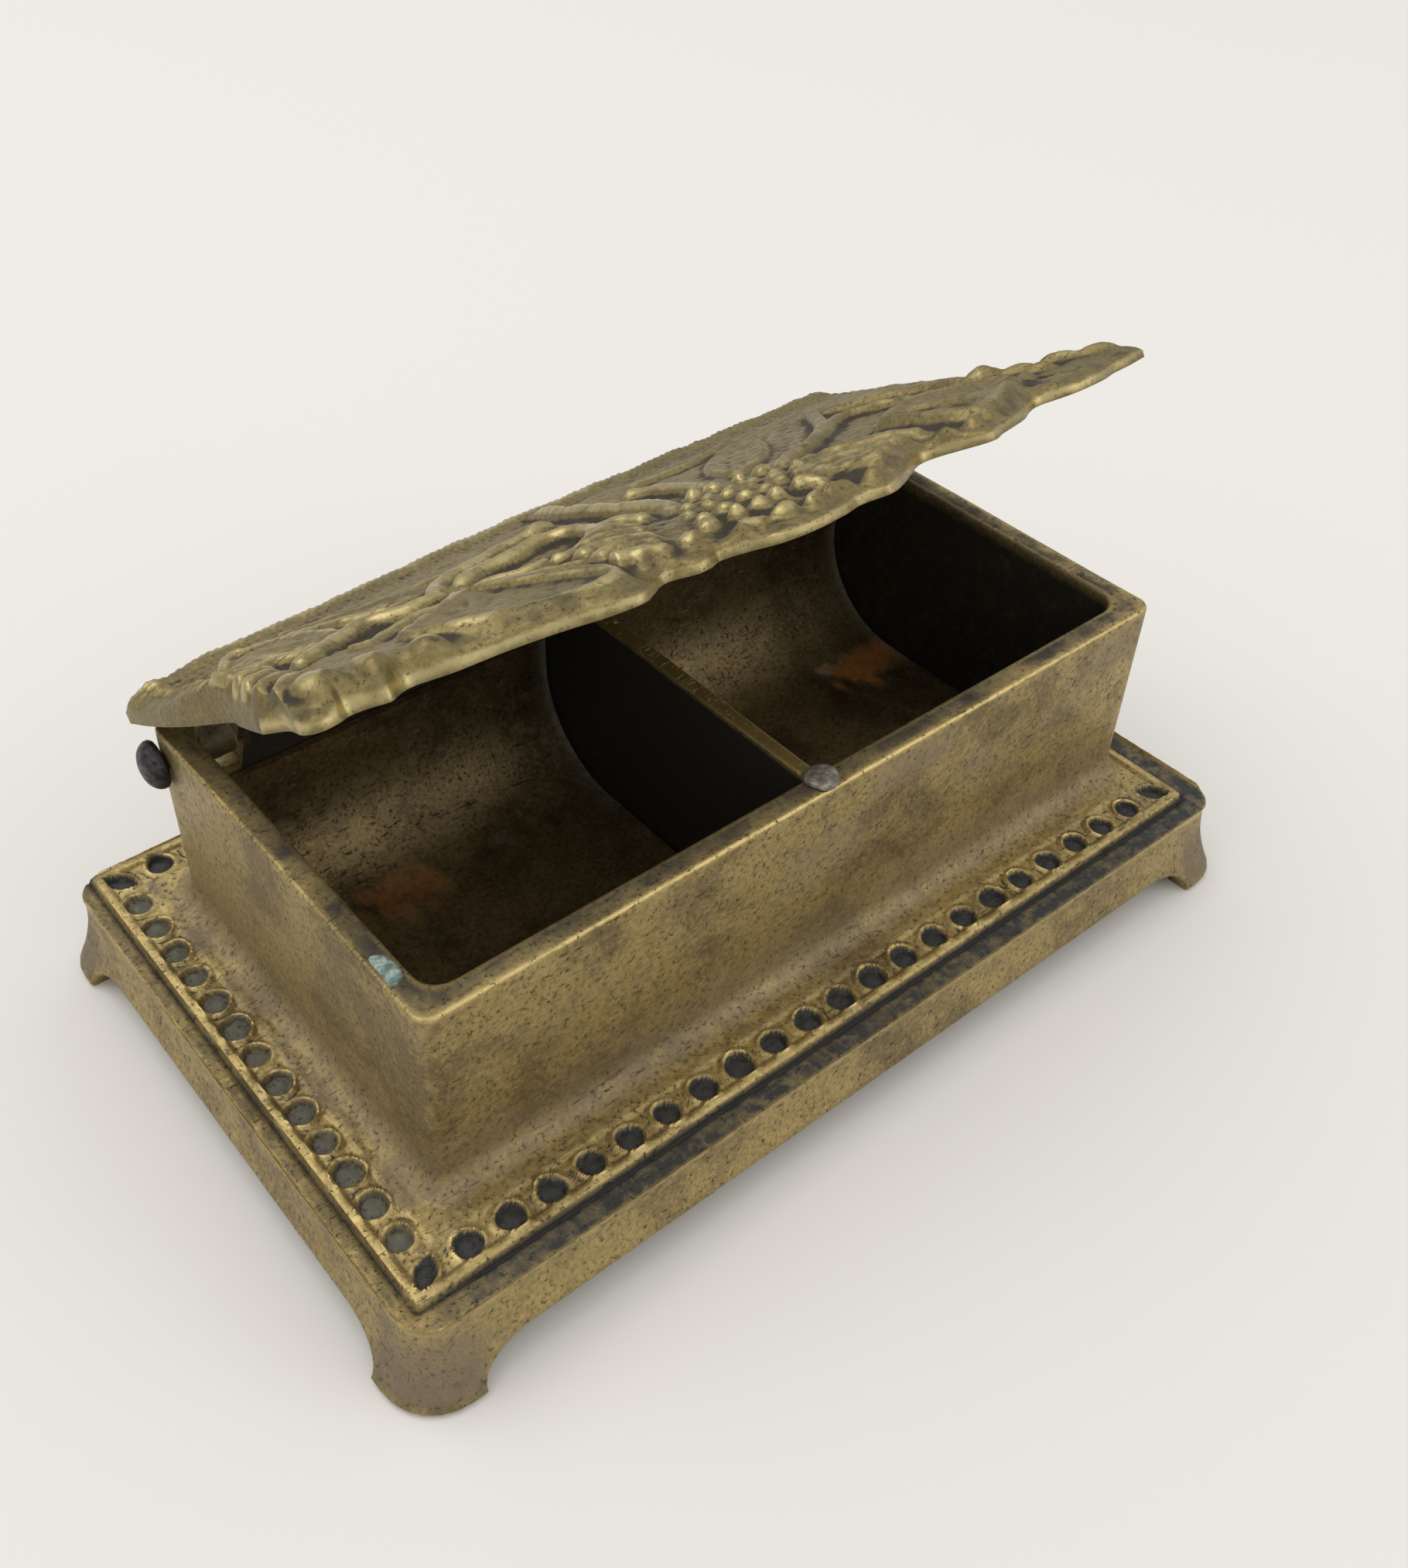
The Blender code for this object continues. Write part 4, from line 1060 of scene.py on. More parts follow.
def near_oval(x, w, long, wide, turn, reach):
    """Points near an oval: which ones, and their squared distance from its middle, which is 1 on the oval."""
    near = np.nonzero((np.abs(lid_x - x) < reach) & (np.abs(lid_w - w) < reach))
    dx, dw = lid_x[near] - x, lid_w[near] - w
    c, s = math.cos(math.radians(turn)), math.sin(math.radians(turn))
    return near, ((dx * c + dw * s) / long) ** 2 + ((-dx * s + dw * c) / wide) ** 2


def lobe(x, w, long, wide, turn, rise, power=0.5):
    """A round or oval swelling: 1 less the squared distance, to a power. A half makes it a ball."""
    near, square = near_oval(x, w, long, wide, turn, max(long, wide))
    lay(near, rise * np.clip(1 - square, 0, 1) ** power)


def hollow(x, w, long, wide, turn, depth):
    """A sunken place with soft sides, cut into whatever is there."""
    near, square = near_oval(x, w, long, wide, turn, 2.2 * max(long, wide))
    relief[near] -= depth * np.exp(-square)


# %% Panels, for leaves with a rolled edge


def inside(x, w, outline):
    """True where a place lies inside an outline: a line drawn from it crosses the outline an odd number of times."""
    result = np.zeros(x.shape, dtype=bool)
    for (ax, aw), (bx, bw) in zip(outline, np.roll(outline, -1, axis=0)):
        crosses = (aw > w) != (bw > w)
        reach = ax + (w - aw) * (bx - ax) / (bw - aw if bw != aw else 1e-9)
        result ^= crosses & (x < reach)
    return result


def panel(corners, rise, rim_width=0.7, rim_rise=0.45, soft=1.6):
    """A raised field with a rounded border line, like a leaf pressed flat inside its own rim."""
    line = smooth_line(list(corners) + [corners[0]], 10 * len(corners))
    near, gap, _, _ = near_path(list(corners) + [corners[0]], 1e9, 10 * len(corners))
    within = inside(lid_x[near], lid_w[near], line)
    field = rise * smoothstep(np.where(within, gap, -gap), -soft, soft * 0.4)
    border = rim_rise * bell(gap, 0, rim_width)
    dip = 0.25 * rise * smoothstep(np.where(within, gap, 0), 0.5, 3.0)
    lay(near, np.where(field > 0.01, field + border - dip, 0))


# %% Leaves of the left half


def left_foliage():
    """A big leaf with a rolled edge, curling stems, and rounded leaf tips at the left corner."""
    lobe(-33.0, 31.0, 7.0, 6.5, 60, 1.0)
    leaf([(-28.4, 19.6), (-31.6, 13.5), (-34.2, 8.2)], 3.4, 0.75, 4, dish=0.2)
    stem([(-34.8, 11.5), (-33.6, 7.6), (-31.6, 6.2), (-29.6, 9.6), (-28.0, 16.0), (-28.2, 20.2)], 0.8, 1.05, 0.8)
    stem([(-30.6, 5.6), (-27.0, 10.0), (-24.5, 15.0), (-21.6, 17.6)], 0.9, 0.8, 0.7)
    stem([(-27.5, 3.6), (-22.0, 8.6), (-16.5, 12.0), (-11.0, 11.2), (-4.0, 8.2)], 0.9, 0.55, 0.7)
    leaf([(-17.5, 16.0), (-21.5, 11.5), (-27.0, 6.0)], 2.6, 0.5, 6)
    stem([(-38.4, 17.0), (-37.1, 19.4), (-35.3, 20.8), (-33.8, 20.4), (-31.8, 22.0), (-30.2, 23.2), (-27.6, 21.4)],
         1.05, 1.15, 0.8)
    stem([(-34.8, 27.0), (-31.5, 24.5), (-29.3, 22.9), (-26.1, 21.4), (-22.8, 22.6), (-18.6, 22.4)], 1.15, 1.35, 0.85)
    stem([(-30.9, 28.1), (-29.6, 29.4), (-27.0, 28.2), (-24.4, 27.2), (-21.6, 27.2), (-18.8, 24.2)], 0.9, 1.25, 0.85)
    for x, w, turn in ((-37.6, 23.2, 190), (-37.6, 25.6, 200), (-37.4, 28.2, 212), (-36.8, 30.8, 226)):
        lobe(x, w, 3.3, 1.25, -turn, 1.5)
    lobe(-36.0, 34.6, 3.2, 2.0, 65, 1.75, 0.55)
    lobe(-32.0, 35.2, 3.1, 1.9, 75, 1.55, 0.55)
    lobe(-27.9, 36.2, 3.0, 1.7, 95, 1.25, 0.55)
    panel(((-18.6, 25.0), (-24.5, 28.6), (-27.6, 31.6), (-24.6, 35.2), (-20.0, 39.4), (-15.6, 41.2), (-13.2, 40.0),
           (-12.6, 36.0), (-15.0, 30.0)), 0.85, 0.75, 0.35)
    stem([(-18.4, 25.4), (-16.4, 30.5), (-14.6, 35.0), (-13.3, 39.6)], 0.7, 1.3, 0.9)
    stem([(-18.2, 25.2), (-15.4, 28.6), (-12.4, 32.2), (-11.2, 35.4)], 0.7, 1.2, 0.9)
    for x, w in ((-25.6, 31.0), (-22.6, 34.6), (-19.2, 37.8)):
        stem([(-18.8, 25.8), ((x - 18.4) / 2, (w + 26.6) / 2), (x, w)], 0.5, 0.95, 0.5)


# %% Loops and ruffled petals of the middle


def middle_foliage():
    """Two looped stems, a long stem down to the hinge, and a ruff of curled petals."""
    lobe(-6.4, 33.0, 7.4, 7.4, 0, 0.9)
    stem([(-18.8, 22.6), (-18.4, 19.6), (-16.7, 17.4), (-14.6, 15.7), (-12.0, 14.8), (-8.6, 13.6), (-5.0, 12.6),
          (-0.7, 11.2)], 1.05, 1.15, 0.75)
    lobe(-3.2, 12.2, 2.4, 1.0, -20, 1.45)
    stem([(-18.4, 22.8), (-14.0, 20.0), (-9.9, 19.1), (-6.2, 17.8), (-3.8, 19.4), (-4.2, 23.6), (-6.7, 26.6),
          (-9.5, 28.2), (-11.6, 27.2)], 1.1, 1.4, 0.8)
    stem([(-17.6, 24.4), (-15.0, 25.2), (-12.6, 26.2), (-10.4, 25.4)], 0.85, 0.95, 0.8)
    stem([(3.4, 1.6), (2.2, 8.6), (2.4, 15.6), (2.7, 21.6), (2.2, 25.8), (0.6, 29.2)], 1.3, 1.15, 0.8)
    stem([(6.4, 12.6), (8.0, 16.0), (8.2, 20.4), (7.6, 25.0)], 1.1, 1.0, 0.8)
    petals = (((-11.5, 31.9), (-9.2, 31.4), (-7.0, 34.0), (-7.2, 37.6)), ((-11.6, 34.6), (-9.2, 34.6), (-7.9, 38.6)),
              ((-11.8, 37.2), (-10.0, 37.4), (-9.0, 39.2)), ((-7.7, 27.8), (-4.8, 26.8), (-4.0, 30.4)),
              ((-6.4, 26.2), (-2.9, 25.2), (-1.3, 28.0)), ((-9.4, 29.6), (-6.4, 29.0), (-5.0, 33.0)))
    for petal in petals:
        stem(petal, 1.4, 1.6, 0.8)


# %% Berries and lumps at the front


def berries():
    """A cushion set with five rows of berries, and a row of lumps along the front edge."""
    dice = np.random.default_rng(11)
    lobe(4.6, 34.0, 8.6, 7.4, 10, 1.0, 0.7)
    for first, forward, count in ((3.6, 28.2, 4), (0.8, 30.6, 6), (-0.9, 33.0, 6), (-1.8, 35.5, 6), (-2.6, 38.0, 6)):
        for k in range(count):
            x = first + 2.2 * k + dice.uniform(-0.35, 0.35)
            w = forward + 0.25 * k + dice.uniform(-0.4, 0.4)
            size = dice.uniform(0.85, 1.25)
            lobe(x, w, size, size * dice.uniform(0.85, 1.1), dice.uniform(0, 90), 1.55 + dice.uniform(-0.25, 0.25))
    for x, w, long, wide, turn, rise in ((-8.6, 38.9, 1.5, 1.4, 0, 1.35), (-5.8, 39.6, 1.6, 1.4, 0, 1.4),
                                         (-2.2, 42.2, 2.0, 1.1, 15, 1.1), (0.8, 43.0, 1.5, 1.0, 5, 1.2),
                                         (3.4, 43.8, 1.3, 1.0, 0, 1.2), (6.2, 43.2, 2.1, 1.0, -8, 1.1),
                                         (9.4, 44.0, 1.2, 0.9, 0, 1.2)):
        lobe(x, w, long, wide, turn, rise, 0.65)


# %% Fronds, panel leaf and tip of the right half


def right_foliage():
    """Curled fronds, stems that run to the hinge, a panel leaf, and lumps out to the tip."""
    lobe(12.0, 38.0, 7.0, 6.0, 0, 0.8)
    stem([(6.2, 39.6), (8.6, 39.4), (11.4, 40.4), (13.0, 42.2)], 1.7, 1.6, 0.9)
    stem([(7.6, 36.6), (10.6, 36.6), (13.6, 37.6), (16.0, 40.0)], 1.5, 1.5, 0.9)
    stem([(9.6, 33.8), (13.6, 34.2), (17.0, 36.4), (18.6, 39.0)], 1.1, 1.2, 0.85)
    stem([(11.6, 31.4), (16.0, 31.4), (19.6, 34.0), (21.2, 38.0)], 1.0, 1.05, 0.85)
    for x, w in ((12.6, 41.2), (10.2, 40.2), (15.4, 39.2), (14.2, 43.0)):
        lobe(x, w, 1.1, 0.9, 0, 1.5, 0.7)
    stem([(11.4, 30.6), (14.7, 27.3), (19.3, 25.2), (24.5, 21.0), (28.2, 16.6), (33.2, 9.2)], 1.05, 1.2, 0.7)
    stem([(22.0, 23.6), (27.0, 19.6), (30.5, 18.6), (32.4, 21.0), (33.6, 25.0)], 0.9, 1.0, 0.8)
    stem([(32.0, 12.0), (36.0, 16.0), (38.6, 21.6), (39.0, 26.0)], 1.2, 0.9, 0.8)
    leaf([(13.0, 22.0), (18.0, 15.5), (25.0, 8.0)], 3.0, 0.6, 7)
    stem([(9.6, 8.0), (17.0, 8.6), (26.0, 4.6)], 0.9, 0.6, 0.7)
    panel(((24.4, 29.4), (28.5, 27.2), (32.8, 26.8), (34.6, 30.2), (36.2, 34.4), (32.6, 37.4), (28.0, 39.6),
           (25.2, 38.6)), 1.0, 0.6, 0.4)
    stem([(24.8, 29.6), (27.6, 31.0), (29.0, 35.0), (28.2, 39.2)], 0.7, 1.35, 0.9)
    for x, w, size in ((20.6, 41.0, 1.1), (23.4, 41.6, 1.0), (26.2, 40.6, 1.0), (31.6, 38.2, 0.9)):
        lobe(x, w, size, size, 0, 1.0, 0.7)
    for x, w, long, wide, turn, rise in ((39.8, 27.8, 2.6, 1.5, 30, 1.5), (42.4, 29.8, 2.4, 1.5, 40, 1.3),
                                         (44.8, 32.4, 2.5, 1.5, 45, 1.2), (47.2, 35.2, 2.3, 1.1, 40, 0.9),
                                         (38.0, 34.6, 1.3, 1.0, 0, 1.1), (41.4, 33.0, 1.8, 1.0, 40, 0.9)):
        lobe(x, w, long, wide, turn, rise, 0.75)


left_foliage()
middle_foliage()
berries()
right_foliage()
for x, w, long, wide, turn, depth in ((-34.2, 10.8, 1.3, 0.9, 20, 0.9), (-36.4, 17.2, 1.8, 0.9, 30, 0.8),
                                      (-32.9, 27.2, 1.7, 0.35, -15, 1.1), (-8.0, 22.6, 3.0, 1.0, -15, 0.8),
                                      (-14.0, 17.6, 2.6, 0.8, -20, 0.6), (-1.0, 19.6, 1.2, 5.0, 0, 0.7),
                                      (5.0, 21.4, 0.9, 3.4, 0, 0.6), (-23.0, 25.0, 2.8, 0.7, 0, 0.7),
                                      (-10.8, 41.0, 1.2, 1.2, 0, 0.8), (23.0, 28.4, 1.2, 0.5, 0, 0.6),
                                      (18.6, 30.0, 3.0, 0.8, 0, 0.5), (39.6, 36.0, 2.8, 0.6, 40, 0.8)):
    hollow(x, w, long, wide, turn, depth)
print("relief from", round(float(relief.min()), 2), "to", round(float(relief.max()), 2), "mm")

# %% [markdown]
# ## Ground, rolled edges and wear
#
# Under the leaves the lid swells towards its hinge and ends in a rolled edge. Wear goes where a hand
# goes: to what stands higher than its surroundings. We find that by blurring the heights and taking the
# difference. What lies lower than its surroundings collects dirt.

# %% Blur, and distances from the edges


def blur(grid, reach, passes=3):
    """A box blur along both directions of a grid, repeated until it looks like a soft one."""
    for _ in range(passes):
        for axis in (0, 1):
            pad = [(0, 0), (0, 0)]
            pad[axis] = (reach + 1, reach)
            total = np.cumsum(np.pad(grid, pad, mode="edge"), axis=axis)
            size = 2 * reach + 1
            upper = np.take(total, np.arange(size, total.shape[axis]), axis=axis)
            lower = np.take(total, np.arange(0, total.shape[axis] - size), axis=axis)
            grid = (upper - lower) / size
    return grid


def edge_distance(line_x, line_w):
    """Distance of every place from the place beside it on an edge."""
    return np.hypot(lid_x - line_x, lid_w - line_w)


def quarter_round(distance, radius):
    """0 at an edge and 1 from radius inwards, along a quarter circle."""
    share = np.clip(distance / radius, 0, 1)
    return np.sqrt(1 - (1 - share) ** 2)


from_left = edge_distance(lid_x[:1], lid_w[:1])
from_right = edge_distance(lid_x[-1:], lid_w[-1:])
from_back = edge_distance(lid_x[:, :1], lid_w[:, :1])
from_front = edge_distance(lid_x[:, -1:], lid_w[:, -1:])

# %% Ground, tool strokes and crumbs
ground_at_front, ground_swell = 1.0, 2.4
ground = ground_at_front + ground_swell * (1 - np.clip(lid_w / lid_depth, 0, 1) ** 1.5)
strokes = np.cos(2 * math.pi * (lid_x + 0.3 * np.sin(lid_w)) / 0.8) * (1 - smoothstep(lid_w, 1.0, 5.0))
grain = np.cos(2 * math.pi * lid_w / 1.5 + 0.9 * np.sin(lid_x / 5.0)) * (1 - smoothstep(lid_w, 8, 16))
waves = hand_made(lid_x * 2.2, lid_w * 2.6, 0 * lid_x, 0.10)
waves = waves + hand_made(lid_x * 7.3, lid_w * 8.1, 0 * lid_x, 0.035)
clustered = bell(lid_x, 5, 11) * smoothstep(lid_w, 24, 29)
crumbs = (0.05 + 0.11 * clustered) * scatter(lid_x, lid_w, 0.8, 21)
crumbs = crumbs + (0.03 + 0.07 * clustered) * scatter(lid_x, lid_w, 0.42, 22)
lid_height = ground + blur(relief, 1, 1) + 0.045 * strokes + 0.04 * grain + waves + crumbs

# %% Rolled edges and the thin corner
left_roll = bell(lid_x, 0.02 * lid_w - 37.9, 1.1) * (1 - smoothstep(lid_w, 15, 20))
rope = 0.14 * np.cos(2 * math.pi * lid_w / 0.95) * left_roll
back_roll = bell(lid_w, -1.0, 1.5)
behind_roll = bell(lid_x, -35.4, 1.6) * smoothstep(lid_w, 1, 5) * (1 - smoothstep(lid_w, 14, 19))
thin_end = 0.75 * (1 - smoothstep(lid_x, -30, 5)) * (1 - smoothstep(lid_w, 4, 18))
thin_corner = 1.0 * (1 - smoothstep(lid_x, -39.5, -31)) * (1 - smoothstep(lid_w, 2, 16))
lid_height = lid_height + 0.50 * left_roll + rope + 0.75 * back_roll - 0.35 * behind_roll - thin_end - thin_corner
edge_height = 0.65
leafy = smoothstep(lid_w, 17, 23)
for distance, radius, floor_share in ((from_left, 1.3 + 1.0 * leafy, 0.45 * (1 - leafy)), (from_right, 1.4, 0.30),
                                      (from_back, 0.9, 0.60), (from_front, 1.8, 0.0)):
    floor = edge_height + floor_share * (lid_height - edge_height)
    lid_height = floor + (lid_height - floor) * quarter_round(distance, radius)
print("lid heights", round(float(lid_height.min()), 2), "to", round(float(lid_height.max()), 2), "mm")

# %% Wear and dirt from the heights, and painted shade at the right end and beside the rolled edge
proud = (lid_height - blur(lid_height, 9)) / 0.6 + (lid_height - blur(lid_height, 3)) / 0.25
# Painted shade: towards its right end the lid is made darker and less worn.
right_end_shade = smoothstep(lid_x, 0, 25)
edge_line = bell(from_front, 0, 0.22)
front_face = (1 - smoothstep(from_front, 1.2, 2.0)) * (1 - edge_line)
lid_worn = np.clip(0.05 + 0.44 * proud, 0, 0.8) * (1 - 0.45 * right_end_shade)
lid_worn = np.maximum(lid_worn, 0.95 * edge_line) * (1 - 0.8 * front_face)
lid_dirt_and_shade = np.clip(-0.04 - 1.05 * proud + clustered * (0.10 + 0.35 * scatter(lid_x, lid_w, 0.6, 23)), 0, 1)
lid_dirt_and_shade = np.maximum(lid_dirt_and_shade, 0.20 * right_end_shade * (1 + 0.6 * scatter(lid_x, lid_w, 2.5, 25)))
near_side = np.minimum(np.minimum(from_left, from_right), from_back)
lid_dirt_and_shade = 0.85 * lid_dirt_and_shade * smoothstep(from_front, 0.8, 2.6) * smoothstep(near_side, 0.5, 2.0)
# Painted shadow: a dark strip in the dip just inside the rolled left edge, where the roll shades the lid.
roll_shadow = bell(lid_x, -35.6, 0.7) * (1 - smoothstep(lid_w, 13, 17)) * smoothstep(lid_w, 0, 4)
lid_dirt_and_shade = np.maximum(lid_dirt_and_shade, 0.7 * roll_shadow)
lid_dirt_and_shade = np.maximum(lid_dirt_and_shade, 0.30 * front_face * (1 + scatter(lid_x, lid_w, 1.1, 24)))
print("worn", round(float(lid_worn.mean()), 2), "dirty", round(float(lid_dirt_and_shade.mean()), 2), "on average")

# %% From the lid's sheet to the open lid


def on_lid(x, w, height):
    """A place on the lid: x along the hinge, w forward from it and a height above the underside, turned open."""
    up = lid_underside + height
    y = hinge_y - w * math.cos(open_angle) + up * math.sin(open_angle)
    z = hinge_z + w * math.sin(open_angle) + up * math.cos(open_angle)
    return np.stack([x, y, z], axis=-1)


def sheet_faces(columns, rows, start=0):
    """Quads of an open grid."""
    i, j = np.meshgrid(np.arange(columns - 1), np.arange(rows - 1), indexing="ij")
    first = i * rows + j + start
    return np.stack([first, first + rows, first + rows + 1, first + 1], axis=-1).reshape(-1, 4).tolist()


def lug(start):
    """A lug: round about the pin, straight up into the lid, and as thick as the frame's."""
    half = np.linspace(math.pi, 2 * math.pi, 25)
    top = lid_underside + 0.6
    outline = [(lug_radius, top), (-lug_radius, top)] + [(lug_radius * math.cos(a), lug_radius * math.sin(a))
                                                         for a in half]
    forward, up = np.array([(-p, q) for p, q in outline]).T
    ends = [on_lid(np.full(len(outline), x), forward, up - lid_underside) for x in (start, start + lug_thickness)]
    count = len(outline)
    faces = ring_faces(2, count) + [list(range(count)), list(range(count, 2 * count))]
    return np.concatenate(ends), faces


def lid_piece():
    """The lid: the relief on top, a flat underside, a wall round their edge, and the two lugs for the pins."""
    columns, rows = lid_x.shape
    top = on_lid(lid_x, lid_w, lid_height).reshape(-1, 3)
    index = np.arange(columns * rows).reshape(columns, rows)
    ring = np.concatenate([index[:, 0], index[-1, 1:], index[-2::-1, -1], index[0, -2:0:-1]])
    flat_x, flat_w = lid_x.ravel()[ring], lid_w.ravel()[ring]
    under = on_lid(flat_x, flat_w, np.zeros(len(ring)))
    points = np.concatenate([top, under])
    faces = sheet_faces(columns, rows)
    base, count = columns * rows, len(ring)
    k = np.arange(count)
    n = (k + 1) % count
    faces += np.stack([ring[k], base + k, base + n, ring[n]], axis=1).tolist()
    faces += [list(range(base, base + count))]
    worn = np.concatenate([lid_worn.ravel(), 0.35 * np.ones(count)])
    # The dirt values of the top also carry the lid's painted shade.
    dirt = np.concatenate([lid_dirt_and_shade.ravel(), 0.3 * np.ones(count)])
    for start in (pocket[0] + fit_gap, pocket[1] - fit_gap - lug_thickness):
        lug_points, lug_faces = lug(start)
        faces += [[len(points) + number for number in face] for face in lug_faces]
        points = np.concatenate([points, lug_points])
        worn = np.concatenate([worn, np.full(len(lug_points), 0.05)])
        dirt = np.concatenate([dirt, np.full(len(lug_points), 0.6)])
    return make_piece("relief_cast_lid", points, faces, lid_brass, "lid", "relief_lid",
                      {"worn": worn, "dirt": dirt}, crease=60)


lid_piece()

# %% [markdown]
# ## Pins, solder and plugs
#
# Small things last: the dark pins with domed heads, a lump of solder where the divider meets the front
# rim, and two plugs in the rim. One is crusted with pale green verdigris, the other is dull.

# %% Plain finishes for the small pieces


def speckled(name, light, dark, scale, roughness, metallic, bump):
    """Two colours mixed by noise, with the same noise as unevenness."""
    made, tree, shader = new_material(name)
    place = tree.nodes.new("ShaderNodeTexCoord").outputs["Object"]
    grain_value = noise(tree, place, scale, 6, 0.65, 0.3)
    tree.links.new(mix(tree, ramp(tree, grain_value, 0.38, 0.64), dark, light), shader.inputs["Base Color"])
    rough = ramp(tree, grain_value, 0.3, 0.7, roughness + 0.12, roughness - 0.08)
    tree.links.new(rough, shader.inputs["Roughness"])
    shader.inputs["Metallic"].default_value = metallic
    bumpy(tree, shader, grain_value, bump)
    return made


pin_steel = speckled("pin_steel", rgba(0.075, 0.072, 0.075), rgba(0.028, 0.026, 0.027), 1200, 0.42, 0.9, 0.00005)
verdigris_crust = speckled("verdigris_crust", rgba(0.40, 0.50, 0.46), rgba(0.12, 0.19, 0.17), 1300, 0.85, 0.0, 0.0003)
solder_grey = speckled("solder_grey", rgba(0.36, 0.34, 0.29), rgba(0.16, 0.145, 0.12), 1300, 0.45, 0.7, 0.00012)
dull_plug = speckled("dull_plug", rgba(0.30, 0.26, 0.17), rgba(0.12, 0.10, 0.07), 1500, 0.55, 0.8, 0.0001)

# %% Pins
pin_head_radius = 2.3
pin_head_height = 1.5
pin_sides = 48


def pin(name, node, outer, inner, inward):
    """A turned pin: half of its section (place along X, radius) is carried round the hinge line."""
    head_face = outer - inward * fit_gap
    tip = inner + inward * (fit_gap + lug_thickness - 0.4)
    turn = np.linspace(0, math.pi / 2, 12)[:-1]
    section = [(tip, 0.25), (tip, pin_radius - 0.15), (tip - inward * 0.15, pin_radius), (head_face, pin_radius),
               (head_face, pin_head_radius - 0.2), (head_face - inward * 0.2, pin_head_radius)]
    section += [(head_face - inward * (0.3 + pin_head_height * math.sin(a)), pin_head_radius * math.cos(a) ** 0.8)
                for a in turn[1:]]
    section += [(head_face - inward * (0.3 + pin_head_height), 0.12)]
    around = np.linspace(0, 2 * math.pi, pin_sides, endpoint=False)
    rows = []
    for x, radius in section:
        wobble = radius * (1 + 0.03 * np.sin(2 * around + 0.5 * x) * (radius > pin_radius))
        wobble = np.minimum(wobble, pin_head_radius)
        rows.append(row(x, hinge_y + wobble * np.cos(around), hinge_z + wobble * np.sin(around))[:, :3])
    points = np.concatenate(rows)
    faces = ring_faces(len(rows), pin_sides) + [list(range(pin_sides))]
    faces += [list(range(len(points) - pin_sides, len(points)))]
    return make_piece(name, points, faces, pin_steel, "box", node)


pin("pin_left", "hinge_pin_left", box[0], pocket[0], 1)
pin("pin_right", "hinge_pin_right", box[1], pocket[1], -1)

# %% Solder lump and rim plugs


def crust(name, node, look, rings=9, sides=36, squareness=2.0, uneven=0.06, phase=0.0, spread=1.0):
    """A low uneven dome: a rounded outline shrinks ring by ring towards the top.

    With a spread of 1 it is as wide as its node's box, and with 1.2 a fifth wider."""
    low, high = node_box(node)
    centre, half = (low + high) / 2, spread * (high - low) / 2
    around = np.linspace(0, 2 * math.pi, sides, endpoint=False)
    c, s = np.cos(around), np.sin(around)
    outline = (np.abs(c) ** squareness + np.abs(s) ** squareness) ** (-1 / squareness)
    outline = outline * (1 - uneven + uneven * np.sin(3 * around + phase))
    dome = min(high[2] - low[2], 0.45)
    steps = [(1.0, low[2])]
    for turn in np.linspace(0, math.pi / 2, rings)[:-1]:
        swell = math.sin(turn) * (1 - 0.12 * np.sin(2 * around + phase) ** 2)
        steps.append((0.97 * math.cos(turn), high[2] - dome + dome * swell))
    rows = [row(centre[0] + half[0] * outline * c * size, centre[1] + half[1] * outline * s * size, z)[:, :3]
            for size, z in steps]
    points = np.concatenate(rows)
    faces = ring_faces(len(rows), sides) + [list(range(sides)), list(range(len(points) - sides, len(points)))]
    return make_piece(name, points, faces, look, "box", node)


crust("solder_lump", "divider_solder_lump", solder_grey, phase=0.7)
crust("verdigris_plug", "verdigris_plug_left", verdigris_crust, squareness=4.0, uneven=0.10, phase=1.9,
      spread=1.2)
crust("rim_plug", "rim_plug_right", dull_plug, squareness=5.0, phase=0.2)

# %% [markdown]
# ## Stage, light and camera
#
# A pale floor, a soft white sky and two large soft lamps: one behind the box and high up, and a weaker
# one in front. The room isn't in the photo, so the lamps are a guess, set by comparing renders with the
# photo. Metal shows what it reflects, so the sky is darker low down, which gives the brass its body.

# %% Floor and light


def make_floor():
    """A flat square of 6 metres, matt and slightly warm."""
    made, _, shader = new_material("pale_floor")
    shader.inputs["Base Color"].default_value = rgba(0.80, 0.787, 0.765)
    shader.inputs["Roughness"].default_value = 0.9
    shader.inputs["Specular IOR Level"].default_value = 0.1
    mesh = bpy.data.meshes.new("floor")
    half = 3.0
    mesh.from_pydata([(-half, -half, 0), (half, -half, 0), (half, half, 0), (-half, half, 0)], [], [(0, 1, 2, 3)])
    mesh.materials.append(made)
    place_object("floor", mesh)


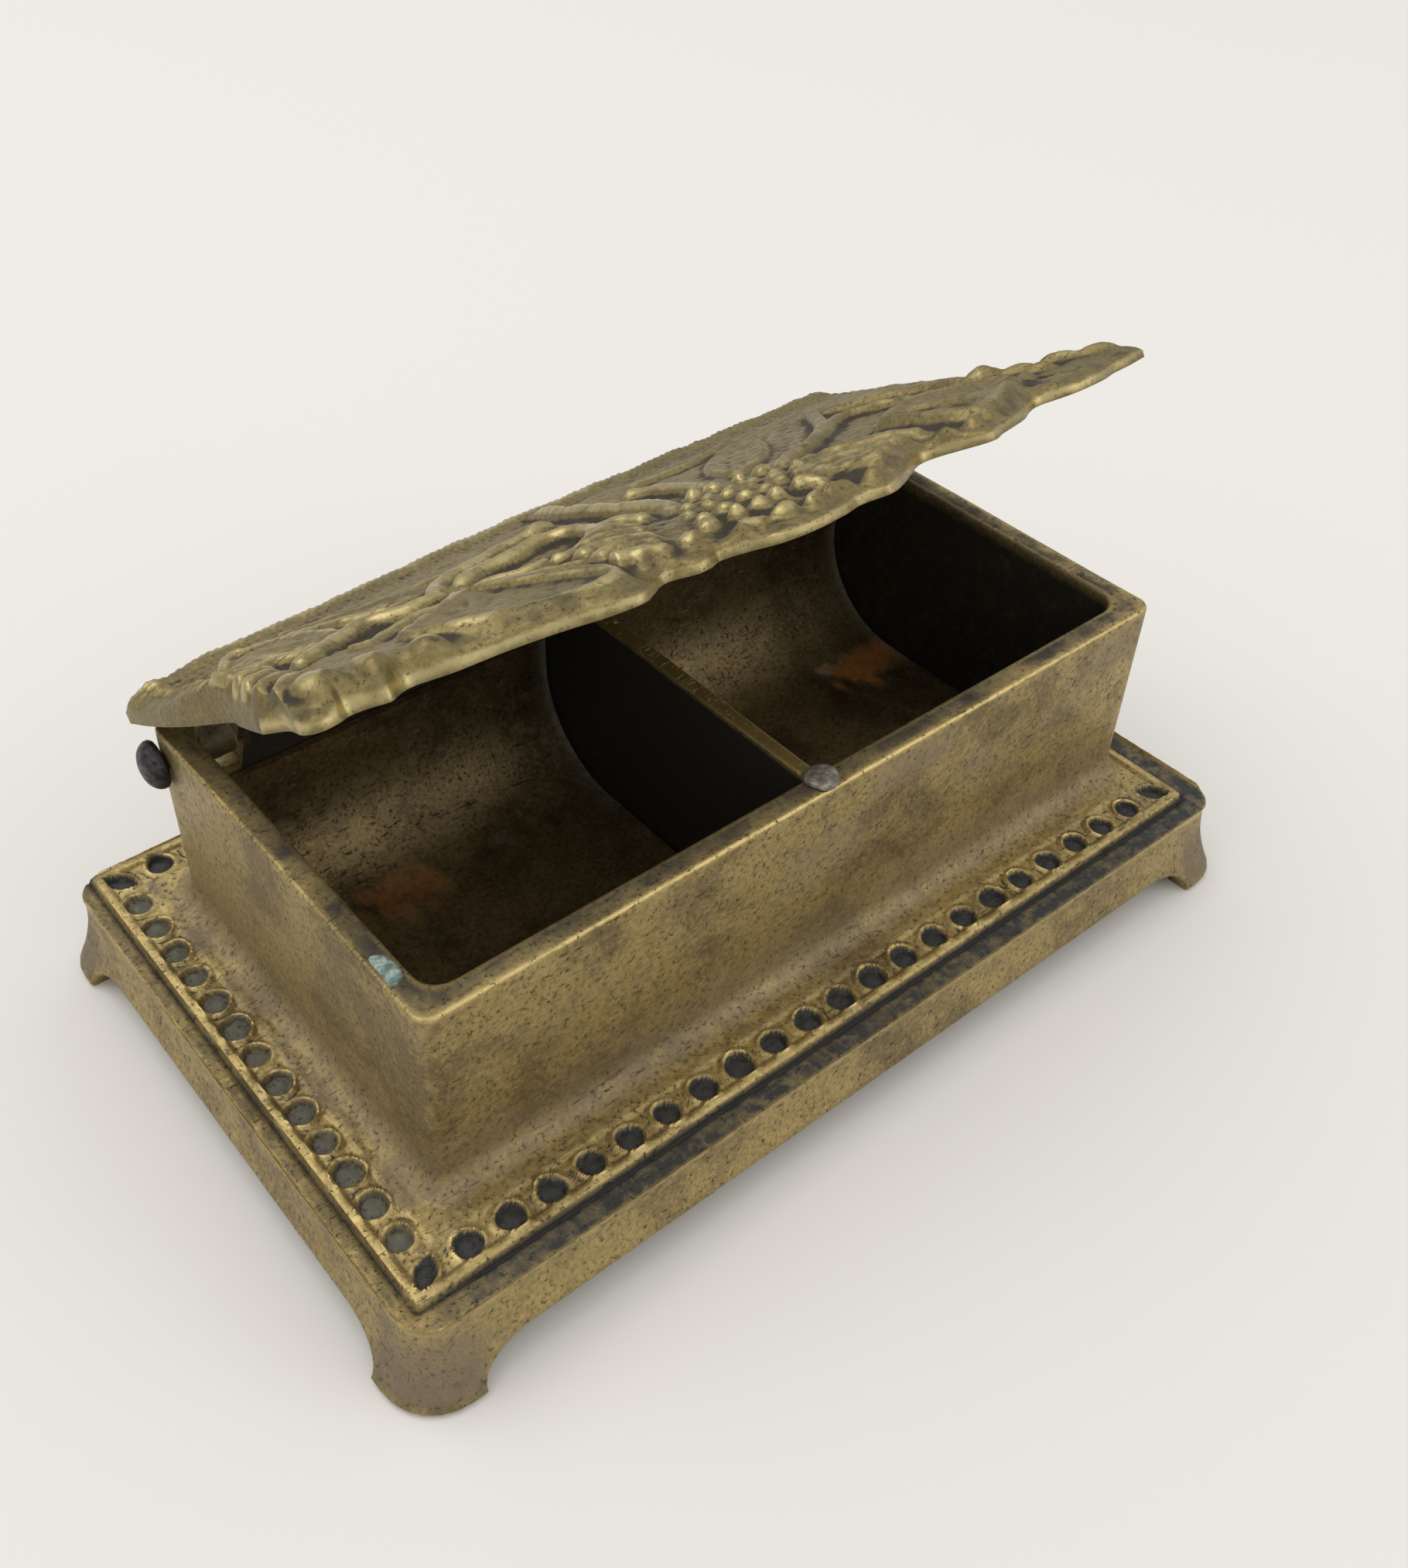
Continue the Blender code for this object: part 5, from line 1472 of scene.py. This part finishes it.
def make_world():
    """A sky that goes smoothly from grey, just below the horizon, to white high up."""
    world = bpy.data.worlds.new("soft_room")
    bpy.context.scene.world = world
    world.use_nodes = True
    tree = world.node_tree
    background = tree.nodes["Background"]
    direction = tree.nodes.new("ShaderNodeTexCoord").outputs["Generated"]
    up = add_node(tree, "ShaderNodeSeparateXYZ", inputs={0: direction}).outputs["Z"]
    sky = mix(tree, ramp(tree, up, -0.05, 0.75), rgba(0.52, 0.51, 0.50), rgba(1.0, 0.99, 0.97))
    tree.links.new(sky, background.inputs["Color"])
    background.inputs["Strength"].default_value = 0.90


def make_lamp(name, place, target, size, power, color=(1.0, 0.98, 0.95)):
    """A square lamp at a place, turned so that it shines at a target: tilted by its height, then swung round."""
    data = bpy.data.lights.new(name, "AREA")
    data.shape = "SQUARE"
    data.size = size
    data.energy = power
    data.color = color
    lamp = place_object(name, data)
    lamp.location = place
    aim = np.array(target) - np.array(place)
    aim = aim / np.linalg.norm(aim)
    lamp.rotation_euler = (math.acos(-aim[2]), 0, math.atan2(-aim[0], aim[1]))


make_floor()
make_world()
make_lamp("window", (-0.25, 0.35, 0.85), (0, 0, 0.01), 0.7, 2.3)
make_lamp("fill", (0.55, -0.75, 0.45), (0, 0, 0.02), 0.7, 1.6)

# %% [markdown]
# ## Camera
#
# The camera stands where a fit to the photo puts it. Its place, turn and focal length, and the pixel that
# its axis runs through, were fitted to the rows of cells, to the straight lines of the rim and of the foot
# of the wall, and to upright edges of the box. The axis pixel was pulled towards the middle of the
# picture, because the photo alone fixes it poorly.

# %% Camera
photo_width, photo_height = 1820, 2027
focal_pixels = 2088
axis_pixel = (811, 980)
film_width = 36
camera_data = bpy.data.cameras.new("camera")
camera_data.sensor_width = film_width
camera_data.lens = focal_pixels * film_width / photo_height
camera_data.shift_x = (photo_width / 2 - axis_pixel[0]) / photo_height
camera_data.shift_y = (axis_pixel[1] - photo_height / 2) / photo_height
camera_data.clip_start = 0.005
camera = place_object("camera", camera_data)
camera.location = (-0.07436, -0.08748, 0.12032)
camera.rotation_euler = [math.radians(angle) for angle in (48.829, -0.177, -38.439)]
bpy.context.scene.camera = camera
bpy.context.scene.view_settings.view_transform = "Standard"
print("camera", round(float(np.linalg.norm(camera.location)) / MM), "mm from the origin")
